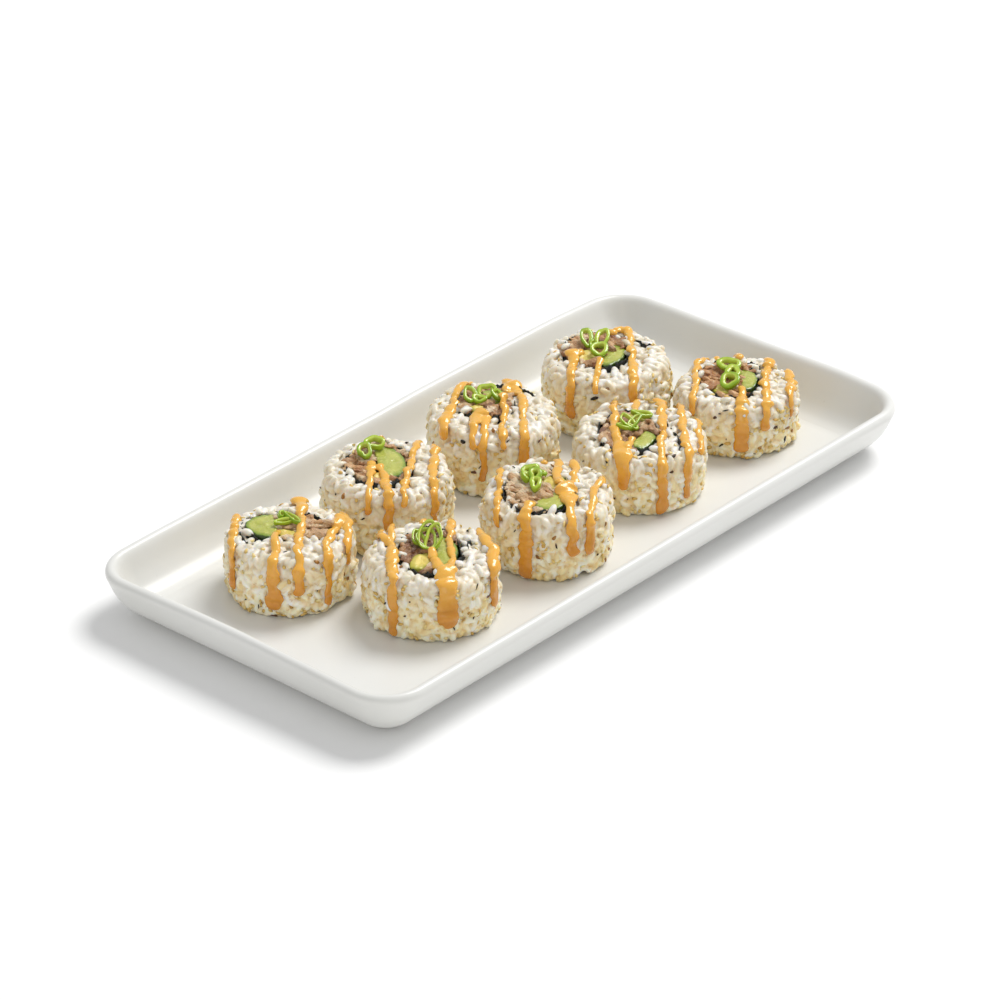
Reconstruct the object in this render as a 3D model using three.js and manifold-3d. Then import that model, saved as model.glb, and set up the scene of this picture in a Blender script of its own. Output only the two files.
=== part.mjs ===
// A rectangular porcelain serving plate with eight inside-out maki rolls on it. Millimetres, +Z up.
// The origin is on the table, under the middle of the plate. +X runs along the plate's long side.
// Each roll is a puck of rice around one spiral sheet of nori, which holds cucumber, avocado and cooked fish,
// and a small pile of spring onion rings lies on the filling.
import * as THREE from "three";
import { mergeVertices } from "three/addons/utils/BufferGeometryUtils.js";
import Module from "manifold-3d";

// ---------------------------------------------------------------- plate sizes
const PLATE_LENGTH = 300;
const PLATE_BREADTH = 149.2;
const CORNER_RADIUS = 18; // of the rim, seen from above
const MIN_CORNER = 4; // of the inner rings
const FLOOR_Z = 5.2; // the flat well that the rolls stand on
const FLOOR_INSET = 19; // where the flat well begins, from the rim's outside
const RIM_WAVE = 1; // 1 keeps the hand-shaped rise and fall of the rim
const CORNER_STEPS = 4;
const LONG_STEPS = 7;
const SHORT_STEPS = 4;

// The plate's section: inset from the rim's outside, height, and how much of the rim's wave it takes.
const PLATE_SECTION = [
  [26.5, 1.1, 0], // roof of the shallow recess underneath
  [24.5, 0, 0], // foot, inner edge
  [17.4, 0, 0], // foot, outer edge
  [12.8, 1.2, 0],
  [7.8, 4.5, 0.1],
  [4.2, 9.1, 0.45],
  [2.1, 13.6, 0.8],
  [1.3, 16.3, 0.95], // slight neck below the lip
  [0, 18.3, 1], // widest
  [0.6, 20.3, 1],
  [2.6, 21.2, 1], // crest
  [4.6, 20.1, 1],
  [6.2, 16.6, 0.85],
  [8.3, 12.2, 0.5],
  [11, 8.6, 0.2],
  [14.6, 6.3, 0],
  [FLOOR_INSET, FLOOR_Z, 0],
];

// Rim height above or below the crest, at points round the plate (share of half length, share of half breadth, mm).
const RIM_POINTS = [
  [1, -1, -0.4], [1, -0.53, 1.1], [1, 0, 0.4], [1, 0.53, 0], [1, 1, -0.7],
  [0.67, 1, 1], [0.2, 1, 1], [0, 1, 0.3], [-0.4, 1, -0.1], [-0.73, 1, -0.25], [-1, 1, -0.9],
  [-1, 0, 1], [-1, -1, 0], [-0.33, -1, 0], [0.33, -1, 0],
];

// ---------------------------------------------------------------- roll sizes
const TURN = -48.7; // degrees: every roll is turned the same way, its local +Y along the strands of sauce
const NORI_T = 0.8; // thickness of the damp seaweed sheet
const GAP = 0.3; // between neighbouring pieces
const NORI_STEPS = 17;
const RICE_STEPS = 20;
const NORI_PROUD = 0.5; // the sheet's cut edge stands a little above the rice
const ONION_REST = 1.15; // the onion lies this far above the rice, just clear of the filling and the sheet's edge

// The puck of rice in section: inset from its outside, share of its height.
const RICE_SECTION = [
  [1.7, 0],
  [0.2, 0.1],
  [0, 0.5],
  [0.5, 0.86],
  [2.4, 0.985],
  [4.6, 1],
];
const RICE_LUMP = 0.45; // how far grains stand out of or fall back from the round outline

// x, y: place on the plate; r, h: radius and height. The rest is in the roll's own turned frame:
// cu, cv: centre; a, b: half sizes; rot: degrees; tail: [from degrees, to degrees, distance out] of the sheet's free end;
// cut: [direction in degrees, distance from the centre] of a straight knife cut; top: height over the rice;
// rings of spring onion: u, v centre; a, b half sizes; w wall; l length; turn and tilt in degrees.
const ROLLS = [
  { x: -92.5, y: 26.6, r: 23.8, h: 23.6, seed: 3,
    nori: { cu: -1.2, cv: 2.6, a: 16.3, b: 10.6, rot: -6, tail: [150, 232, 4.6] },
    cucumber: { cu: -8.2, cv: 3.2, a: 9.6, b: 9, rot: 0, cut: [10, 3.2], top: 0.5 },
    avocado: { cu: -1.2, cv: -2.6, a: 3.6, b: 4.2, rot: 20, cut: [90, 3.6], top: 0.1 },
    fish_top: 0.2,
    rings: [{ u: 0.6, v: 5, a: 5.6, b: 2.6, w: 1.1, l: 2.2, turn: 125, tilt: 18 }, { u: -2.6, v: 3.3, a: 5, b: 1.9, w: 1, l: 2, turn: 20, tilt: 13 }] },
  { x: -70.7, y: -22.9, r: 24.6, h: 24.2, seed: 11,
    nori: { cu: -0.8, cv: 0.8, a: 11.4, b: 16.4, rot: 0, tail: [-40, 44, 6.4] },
    cucumber: { cu: 2.6, cv: -0.6, a: 7.4, b: 11.4, rot: 0, cut: [180, 1.4], top: 0.3 },
    avocado: { cu: -3.4, cv: -7.2, a: 4.4, b: 6, rot: -25, cut: [180, 4.2], top: 0.4 },
    fish_top: 0.6,
    rings: [{ u: -0.9, v: 3.4, a: 4.2, b: 8.2, w: 1.1, l: 3, turn: -8, tilt: 16 }, { u: -4.4, v: 5.2, a: 3.4, b: 7, w: 1.2, l: 2.4, turn: 12, tilt: 5 }] },
  { x: -36.9, y: 29.7, r: 24.4, h: 25.5, seed: 19,
    nori: { cu: -3, cv: 2.6, a: 12.8, b: 15.8, rot: 8, tail: [98, 32, 6] },
    cucumber: { cu: 0.8, cv: 3.4, a: 6.2, b: 12.4, rot: 14, cut: [190, 4.4], top: 0.6 },
    avocado: { cu: -2.6, cv: -6.4, a: 3.2, b: 4, rot: 0, cut: [90, 3.5], top: 0.1 },
    fish_top: 0.3,
    rings: [{ u: -7.8, v: 7.1, a: 2.7, b: 4.9, w: 1, l: 3.4, turn: 0, tilt: 13 }, { u: -5, v: 14.2, a: 3.6, b: 3.2, w: 1.1, l: 3, turn: 30, tilt: 8 }] },
  { x: -10.7, y: -26.2, r: 24.4, h: 26.2, seed: 27,
    nori: { cu: -3, cv: -2.2, a: 13, b: 16.6, rot: 4, tail: [-24, 34, 3.2] },
    cucumber: { cu: 1.6, cv: -9.4, a: 7, b: 8.2, rot: -20, cut: [135, 3.4], top: 0.5 },
    avocado: { cu: 2.6, cv: 4.6, a: 4.6, b: 5.4, rot: 0, cut: [180, 4.4], top: 0.2 },
    fish_top: 0.7,
    rings: [{ u: -6, v: 5.3, a: 4, b: 5.4, w: 1.2, l: 4, turn: 10, tilt: 14 }, { u: -4.8, v: -2.6, a: 3, b: 5.6, w: 1.5, l: 3.2, turn: -4, tilt: 9 }] },
  { x: 23.3, y: 30.4, r: 25, h: 25.5, seed: 35,
    nori: { cu: -2.5, cv: 5.2, a: 11, b: 12.6, rot: 0, tail: [88, 8, 8.6] },
    cucumber: { cu: -0.5, cv: 8.6, a: 6, b: 6.4, rot: 0, cut: [200, 2], top: 0.3 },
    avocado: { cu: -5.6, cv: 0, a: 3.6, b: 3.4, rot: 0, cut: [270, 3.2], top: 0.2 },
    fish_top: 0.4,
    rings: [{ u: -8.4, v: 4.9, a: 3.2, b: 6.4, w: 1.1, l: 3, turn: 18, tilt: 14 }, { u: -1.4, v: 5.3, a: 4.6, b: 6.2, w: 1.1, l: 3, turn: -30, tilt: 12 }, { u: -4.6, v: 4.1, a: 3.8, b: 3, w: 1.1, l: 2.4, turn: 0, tilt: 6 }] },
  { x: 49.9, y: -20.2, r: 25.4, h: 23.6, seed: 43,
    nori: { cu: -4.3, cv: -1.8, a: 11.6, b: 16, rot: 0, tail: [62, -34, 10.6] },
    cucumber: { cu: 0.4, cv: -8, a: 6.2, b: 7.6, rot: 10, cut: [150, 2.2], top: 0.4 },
    avocado: { cu: 0.4, cv: 9.6, a: 5.6, b: 3, rot: 0, cut: [90, 2.6], top: 0.4 },
    fish_top: 0.5,
    rings: [{ u: -3.6, v: -2, a: 3.2, b: 7.4, w: 1.1, l: 2.6, turn: 12, tilt: 14 }, { u: -1.2, v: 0.5, a: 2, b: 5.8, w: 1, l: 2.2, turn: -34, tilt: 8 }] },
  { x: 85.1, y: 26.1, r: 25.1, h: 25.5, seed: 51,
    nori: { cu: -4, cv: 3.4, a: 12.6, b: 14.8, rot: 0, tail: [72, 10, 8.8] },
    cucumber: { cu: 1, cv: -0.6, a: 7, b: 9.4, rot: -18, cut: [160, 1.8], top: 0.4 },
    avocado: { cu: -8.6, cv: -1.4, a: 5, b: 5, rot: 0, cut: [90, 4.4], top: 0.5 },
    fish_top: 0.8,
    rings: [{ u: -7.6, v: 7.8, a: 3, b: 6.6, w: 1.1, l: 3, turn: 14, tilt: 14 }, { u: -2, v: 6.6, a: 3.4, b: 7, w: 1.1, l: 3, turn: -10, tilt: 12 }, { u: -2.8, v: -1.8, a: 4.2, b: 5.2, w: 1.2, l: 3, turn: 10, tilt: 8 }] },
  { x: 107.6, y: -20.9, r: 24.1, h: 21.2, seed: 59,
    nori: { cu: -3, cv: 2.4, a: 11.8, b: 14.2, rot: 0, tail: [84, 38, 4] },
    cucumber: { cu: 2.6, cv: 1.4, a: 6.4, b: 8.6, rot: 0, cut: [180, 1], top: 0.4 },
    avocado: { cu: -5.4, cv: -6, a: 5, b: 4, rot: -15, cut: [90, 3.6], top: 0.2 },
    fish_top: 0.5,
    rings: [{ u: -3, v: 9.3, a: 6, b: 4.6, w: 1.5, l: 3.4, turn: 0, tilt: 9 }, { u: -3.2, v: -7.3, a: 4, b: 6.8, w: 1.2, l: 3, turn: -24, tilt: 13 }, { u: -1.6, v: 2.9, a: 3.6, b: 5.6, w: 1.2, l: 2.6, turn: -14, tilt: 5 }] },
];

// ---------------------------------------------------------------- looks
const finish = (color, roughness) => new THREE.MeshStandardMaterial({ color, roughness, metalness: 0 });
const PORCELAIN = finish(0xeeeeea, 0.12);
const RICE = finish(0xe9e5da, 0.45);
const NORI = finish(0x17191a, 0.5);
const CUCUMBER = finish(0xb9d27e, 0.3);
const AVOCADO = finish(0xd9c56a, 0.45);
const FISH = finish(0xa98672, 0.45);
const ONION = finish(0x6fa51e, 0.3);

// ---------------------------------------------------------------- helpers
const wasm = await Module();
wasm.setup();
const rad = THREE.MathUtils.degToRad;

// A closed three.js geometry as a solid, and a solid back as a geometry.
function solid(geometry) {
  const g = geometry.clone();
  g.deleteAttribute("normal");
  g.deleteAttribute("uv");
  const m = mergeVertices(g, 1e-3);
  return new wasm.Manifold(new wasm.Mesh({ numProp: 3, vertProperties: m.attributes.position.array, triVerts: new Uint32Array(m.index.array) }));
}
function geometryOf(s) {
  const m = s.getMesh(), n = m.numProp, v = new Float32Array(m.numVert * 3);
  for (let i = 0; i < m.numVert; i++) v.set(m.vertProperties.subarray(i * n, i * n + 3), i * 3);
  return new THREE.BufferGeometry().setAttribute("position", new THREE.BufferAttribute(v, 3)).setIndex(new THREE.BufferAttribute(m.triVerts, 1));
}

// Rings of points, all with the same count, joined to a closed skin with a flat cap at each end.
function loft(rings) {
  const n = rings[0].length, v = [], f = [];
  for (const ring of rings) for (const p of ring) v.push(p[0], p[1], p[2]);
  for (let k = 0; k + 1 < rings.length; k++)
    for (let i = 0; i < n; i++) {
      const j = (i + 1) % n, a = k * n + i, b = k * n + j, c = a + n, d = b + n;
      f.push(a, b, d, a, d, c);
    }
  const cap = (k, flip) => {
    const flat = rings[k].map((p) => new THREE.Vector2(p[0], p[1]));
    for (const [a, b, c] of THREE.ShapeUtils.triangulateShape(flat, []))
      flip ? f.push(k * n + a, k * n + c, k * n + b) : f.push(k * n + a, k * n + b, k * n + c);
  };
  cap(0, true);
  cap(rings.length - 1, false);
  return new THREE.BufferGeometry().setAttribute("position", new THREE.Float32BufferAttribute(v, 3)).setIndex(f);
}

// A flat outline, a list of [u, v], as an upright prism from z0 to z1.
function prism(outline, z0, z1) {
  const shape = new THREE.Shape(outline.map(([u, v]) => new THREE.Vector2(u, v)));
  return new THREE.ExtrudeGeometry(shape, { depth: z1 - z0, bevelEnabled: false }).translate(0, 0, z0);
}

// Repeatable unevenness from -1 to 1.
const jitter = (seed, i, k) => 2 * ((Math.abs(Math.sin(seed * 12.9898 + i * 78.233 + k * 37.719)) * 43758.5453) % 1) - 1;

// ---------------------------------------------------------------- plate
// A rounded rectangle, the same number of points whatever its size.
function roundedRect(a, b, r) {
  const pts = [], corners = [[a - r, b - r], [r - a, b - r], [r - a, r - b], [a - r, r - b]];
  const at = (k, deg) => [corners[k][0] + r * Math.cos(rad(deg)), corners[k][1] + r * Math.sin(rad(deg))];
  for (let k = 0; k < 4; k++) {
    for (let i = 0; i <= CORNER_STEPS; i++) pts.push(at(k, 90 * (k + i / CORNER_STEPS)));
    const p = pts[pts.length - 1], q = at((k + 1) % 4, 90 * (k + 1)), n = k % 2 ? SHORT_STEPS : LONG_STEPS;
    for (let i = 1; i < n; i++) pts.push([p[0] + ((q[0] - p[0]) * i) / n, p[1] + ((q[1] - p[1]) * i) / n]);
  }
  return pts;
}

const HALF_L = PLATE_LENGTH / 2, HALF_B = PLATE_BREADTH / 2, ROUND = 2 * (PLATE_LENGTH + PLATE_BREADTH);

// Distance round the plate's rectangle, from its front right corner, turning towards +Y.
function roundTo(x, y) {
  const d = [HALF_L - x, HALF_B - y, HALF_L + x, HALF_B + y], k = d.indexOf(Math.min(...d));
  const s = [y + HALF_B, PLATE_BREADTH + HALF_L - x, PLATE_BREADTH + PLATE_LENGTH + HALF_B - y, 2 * PLATE_BREADTH + PLATE_LENGTH + HALF_L + x][k];
  return ((s % ROUND) + ROUND) % ROUND;
}
const stations = RIM_POINTS.map(([p, q, dz]) => [roundTo(p * HALF_L, q * HALF_B), dz]).sort((p, q) => p[0] - q[0]);
function rimWave(x, y) {
  const s = roundTo(x, y), n = stations.length;
  let i = stations.findIndex((p) => p[0] > s);
  if (i < 0) i = n;
  const p = stations[(i - 1 + n) % n], q = stations[i % n];
  const from = i === 0 ? p[0] - ROUND : p[0], to = i === n ? q[0] + ROUND : q[0];
  const t = (s - from) / (to - from), e = t * t * (3 - 2 * t);
  return RIM_WAVE * (p[1] * (1 - e) + q[1] * e);
}
const rimOutline = roundedRect(HALF_L, HALF_B, CORNER_RADIUS);
const plateRings = PLATE_SECTION.map(([inset, z, share]) =>
  roundedRect(HALF_L - inset, HALF_B - inset, Math.max(CORNER_RADIUS - inset, MIN_CORNER)).map(([x, y], i) => [x, y, z + share * rimWave(...rimOutline[i])]),
);

// ---------------------------------------------------------------- rolls
// A point on a turned oval, at an angle in degrees, pushed out by d.
function ovalPoint({ cu, cv, a, b, rot = 0 }, deg, d = 0) {
  const c = Math.cos(rad(deg)), s = Math.sin(rad(deg)), nl = Math.hypot(b * c, a * s);
  const u = a * c + (d * b * c) / nl, v = b * s + (d * a * s) / nl;
  const cr = Math.cos(rad(rot)), sr = Math.sin(rad(rot));
  return [cu + u * cr - v * sr, cv + u * sr + v * cr];
}
const oval = (o, n, d = 0) => Array.from({ length: n }, (_, i) => ovalPoint(o, (360 * i) / n, d));

// The free end of the nori sheet, which leaves the oval and runs out into the rice. grow widens it on every side.
function tailOutline(o, grow) {
  const [from, to, out] = o.tail, n = 7, one = [], two = [];
  const extra = (Math.sign(to - from) * grow * 57.3) / ((o.a + o.b) / 2 + out);
  for (let i = 0; i <= n; i++) {
    const t = i / n, deg = from + (to - from) * t + (i === n ? extra : 0), d = out * t ** 1.4;
    one.push(ovalPoint(o, deg, d + NORI_T / 2 + grow));
    two.push(ovalPoint(o, deg, d - NORI_T / 2 - grow));
  }
  const ring = [...one, ...two.reverse()];
  return to > from ? ring : ring.reverse();
}

// An oval with one straight knife cut. grow widens it on every side, the cut included.
function cutOval(o, grow) {
  const n = 14, dir = rad(o.cut[0]), nu = Math.cos(dir), nv = Math.sin(dir), limit = o.cut[1] + grow;
  const pts = oval(o, n, grow), side = ([u, v]) => (u - o.cu) * nu + (v - o.cv) * nv - limit, out = [];
  pts.forEach((p, i) => {
    const q = pts[(i + 1) % n], sp = side(p), sq = side(q);
    if (sp <= 0) out.push(p);
    if (sp * sq < 0) out.push([p[0] + ((q[0] - p[0]) * sp) / (sp - sq), p[1] + ((q[1] - p[1]) * sp) / (sp - sq)]);
  });
  return out;
}

// An oval ring of spring onion: a short tube lying at a tilt.
function onionRing({ u, v, a, b, w, l, turn, tilt }) {
  const n = 8, shape = new THREE.Shape(), hole = new THREE.Path();
  for (let i = 0; i <= n; i++) {
    const t = (2 * Math.PI * i) / n;
    i ? shape.lineTo(a * Math.cos(t), b * Math.sin(t)) : shape.moveTo(a, 0);
    i ? hole.lineTo((a - w) * Math.cos(t), (b - w) * Math.sin(t)) : hole.moveTo(a - w, 0);
  }
  if (Math.min(a, b) > w + 0.5) shape.holes.push(hole);
  const g = new THREE.ExtrudeGeometry(shape, { depth: l, bevelEnabled: false }).translate(0, 0, -l / 2);
  return g.rotateX(rad(tilt)).rotateZ(rad(turn)).translate(u, v, 0);
}

function roll(r, index) {
  const group = new THREE.Group(), id = index + 1;
  group.position.set(r.x, r.y, FLOOR_Z);
  group.rotation.z = rad(TURN);
  const add = (name, s, material) => {
    const mesh = new THREE.Mesh(geometryOf(s), material);
    mesh.name = name;
    group.add(mesh);
  };
  const far = r.h + 20;

  // Rice: an uneven puck, open where the rolled sheet runs through it.
  const rings = RICE_SECTION.map(([inset, share], k) =>
    Array.from({ length: RICE_STEPS }, (_, i) => {
      const t = (2 * Math.PI * i) / RICE_STEPS, edge = k === 0 || k === RICE_SECTION.length - 1;
      const round = r.r * (1 + 0.012 * Math.cos(2 * t + r.seed) + 0.01 * Math.cos(3 * t - r.seed));
      const rr = Math.min(round - inset + (edge ? 0.5 : 1) * RICE_LUMP * (jitter(r.seed, i, k) - 0.4), r.r - inset + 0.3);
      const z = edge ? share * r.h : share * r.h + 0.25 * jitter(r.seed + 5, i, k);
      return [rr * Math.cos(t), rr * Math.sin(t), z];
    }),
  );
  let rice = solid(loft(rings));
  rice = rice.subtract(solid(prism(oval(r.nori, NORI_STEPS, NORI_T / 2 + GAP), -1, far)));
  rice = rice.subtract(solid(prism(tailOutline(r.nori, GAP), -1, far)));
  add(`rice_${id}`, rice.decompose().sort((p, q) => q.volume() - p.volume())[0], RICE);

  // Nori: one closed turn and the sheet's free end.
  const height = r.h + NORI_PROUD;
  let nori = solid(prism(oval(r.nori, NORI_STEPS, NORI_T / 2), 0, height));
  nori = nori.subtract(solid(prism(oval(r.nori, NORI_STEPS, -NORI_T / 2), -1, far)));
  const inner = solid(prism(oval(r.nori, NORI_STEPS, -NORI_T / 2), -1, far));
  nori = nori.add(solid(prism(tailOutline(r.nori, 0), 0, height)).subtract(inner));
  add(`nori_${id}`, nori, NORI);

  // Filling, cut to the inside of the sheet.
  const room = (top) => solid(prism(oval(r.nori, NORI_STEPS, -NORI_T / 2 - GAP), 0, r.h + top));
  const whole = (o, grow) => solid(prism(cutOval(o, grow), -1, far));
  const biggest = (s) => s.decompose().sort((p, q) => q.volume() - p.volume());
  add(`cucumber_${id}`, biggest(room(r.cucumber.top).intersect(whole(r.cucumber, 0)))[0], CUCUMBER);
  add(`avocado_${id}`, biggest(room(r.avocado.top).intersect(whole(r.avocado, 0)).subtract(whole(r.cucumber, GAP)))[0], AVOCADO);
  const rest = biggest(room(r.fish_top).subtract(whole(r.cucumber, GAP)).subtract(whole(r.avocado, GAP)));
  rest.filter((s, i) => i === 0 || (i === 1 && s.volume() > 250)).forEach((s, i) => add(`fish_${id}${i ? "b" : ""}`, s, FISH));

  // Spring onion: a small pile of rings on the filling, each pushed into the next.
  let pile = null;
  for (const ring of r.rings) {
    const g = onionRing(ring);
    g.computeBoundingBox();
    const s = solid(g.translate(0, 0, r.h + ONION_REST - g.boundingBox.min.z));
    pile = pile ? pile.add(s) : s;
  }
  const parts = biggest(pile);
  parts.forEach((s, i) => add(`onion_${id}${i ? "bcd"[i - 1] : ""}`, s, ONION));
  return group;
}

const part = new THREE.Group();
const plate = new THREE.Mesh(loft(plateRings), PORCELAIN);
plate.name = "plate";
part.add(plate);
ROLLS.forEach((r, i) => part.add(roll(r, i)));

export default part;
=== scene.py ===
import math

import bpy
import numpy as np
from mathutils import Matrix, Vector
from mathutils.bvhtree import BVHTree
from mathutils.kdtree import KDTree


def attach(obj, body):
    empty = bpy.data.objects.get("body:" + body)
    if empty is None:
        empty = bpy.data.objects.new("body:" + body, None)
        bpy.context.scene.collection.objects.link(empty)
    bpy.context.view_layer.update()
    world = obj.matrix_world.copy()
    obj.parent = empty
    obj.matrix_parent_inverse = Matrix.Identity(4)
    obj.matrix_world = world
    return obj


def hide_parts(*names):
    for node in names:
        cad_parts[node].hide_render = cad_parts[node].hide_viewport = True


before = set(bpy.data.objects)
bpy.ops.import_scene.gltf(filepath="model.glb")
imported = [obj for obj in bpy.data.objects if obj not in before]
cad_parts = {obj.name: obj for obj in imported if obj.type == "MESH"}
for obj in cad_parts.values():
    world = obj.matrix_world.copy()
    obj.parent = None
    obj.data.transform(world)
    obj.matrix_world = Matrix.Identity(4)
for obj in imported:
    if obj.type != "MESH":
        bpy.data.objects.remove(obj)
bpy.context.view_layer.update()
MM = 0.001

# ---------------------------------------------------------------- sizes, in millimetres
FLOOR_Z = 5.2
TURN = math.radians(-48.7)
NORI_T = 0.8
U_DIR = np.array([math.cos(TURN), math.sin(TURN), 0.0])
V_DIR = np.array([-math.sin(TURN), math.cos(TURN), 0.0])

# Each roll: place, radius, height; nori (cu, cv, a, b, turn, tail from, tail to, tail out); direction of the cucumber's
# and the avocado's knife cut; onion rings (u, v, a, b, wall, length, turn, tilt).
ROLLS = [
    dict(x=-92.5, y=26.6, r=23.8, h=23.6, seed=3, nori=(-1.2, 2.6, 16.3, 10.6, -6, 150, 232, 4.6), cuc=10, avo=90,
         rings=[(0.6, 5.0, 5.6, 2.6, 1.1, 2.2, 125, 18), (-2.6, 3.3, 5.0, 1.9, 1.0, 2.0, 20, 13)]),
    dict(x=-70.7, y=-22.9, r=24.6, h=24.2, seed=11, nori=(-0.8, 0.8, 11.4, 16.4, 0, -40, 44, 6.4), cuc=180, avo=180,
         rings=[(-0.9, 3.4, 4.2, 8.2, 1.1, 3.0, -8, 16), (-4.4, 5.2, 3.4, 7.0, 1.2, 2.4, 12, 5)]),
    dict(x=-36.9, y=29.7, r=24.4, h=25.5, seed=19, nori=(-3.0, 2.6, 12.8, 15.8, 8, 98, 32, 6.0), cuc=190, avo=90,
         rings=[(-7.8, 7.1, 2.7, 4.9, 1.0, 3.4, 0, 13), (-5.0, 14.2, 3.6, 3.2, 1.1, 3.0, 30, 8)]),
    dict(x=-10.7, y=-26.2, r=24.4, h=26.2, seed=27, nori=(-3.0, -2.2, 13.0, 16.6, 4, -24, 34, 3.2), cuc=135, avo=180,
         rings=[(-6.0, 5.3, 4.0, 5.4, 1.2, 4.0, 10, 14), (-4.8, -2.6, 3.0, 5.6, 1.5, 3.2, -4, 9)]),
    dict(x=23.3, y=30.4, r=25.0, h=25.5, seed=35, nori=(-2.5, 5.2, 11.0, 12.6, 0, 88, 8, 8.6), cuc=200, avo=270,
         rings=[(-8.4, 4.9, 3.2, 6.4, 1.1, 3.0, 18, 14), (-1.4, 5.3, 4.6, 6.2, 1.1, 3.0, -30, 12), (-4.6, 4.1, 3.8, 3.0, 1.1, 2.4, 0, 6)]),
    dict(x=49.9, y=-20.2, r=25.4, h=23.6, seed=43, nori=(-4.3, -1.8, 11.6, 16.0, 0, 62, -34, 10.6), cuc=150, avo=90,
         rings=[(-3.6, -2.0, 3.2, 7.4, 1.1, 2.6, 12, 14), (-1.2, 0.5, 2.0, 5.8, 1.0, 2.2, -34, 8)]),
    dict(x=85.1, y=26.1, r=25.1, h=25.5, seed=51, nori=(-4.0, 3.4, 12.6, 14.8, 0, 72, 10, 8.8), cuc=160, avo=90,
         rings=[(-7.6, 7.8, 3.0, 6.6, 1.1, 3.0, 14, 14), (-2.0, 6.6, 3.4, 7.0, 1.1, 3.0, -10, 12), (-2.8, -1.8, 4.2, 5.2, 1.2, 3.0, 10, 8)]),
    dict(x=107.6, y=-20.9, r=24.1, h=21.2, seed=59, nori=(-3.0, 2.4, 11.8, 14.2, 0, 84, 38, 4.0), cuc=180, avo=90,
         rings=[(-3.0, 9.3, 6.0, 4.6, 1.5, 3.4, 0, 9), (-3.2, -7.3, 4.0, 6.8, 1.2, 3.0, -24, 13), (-1.6, 2.9, 3.6, 5.6, 1.2, 2.6, -14, 5)]),
]

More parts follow.
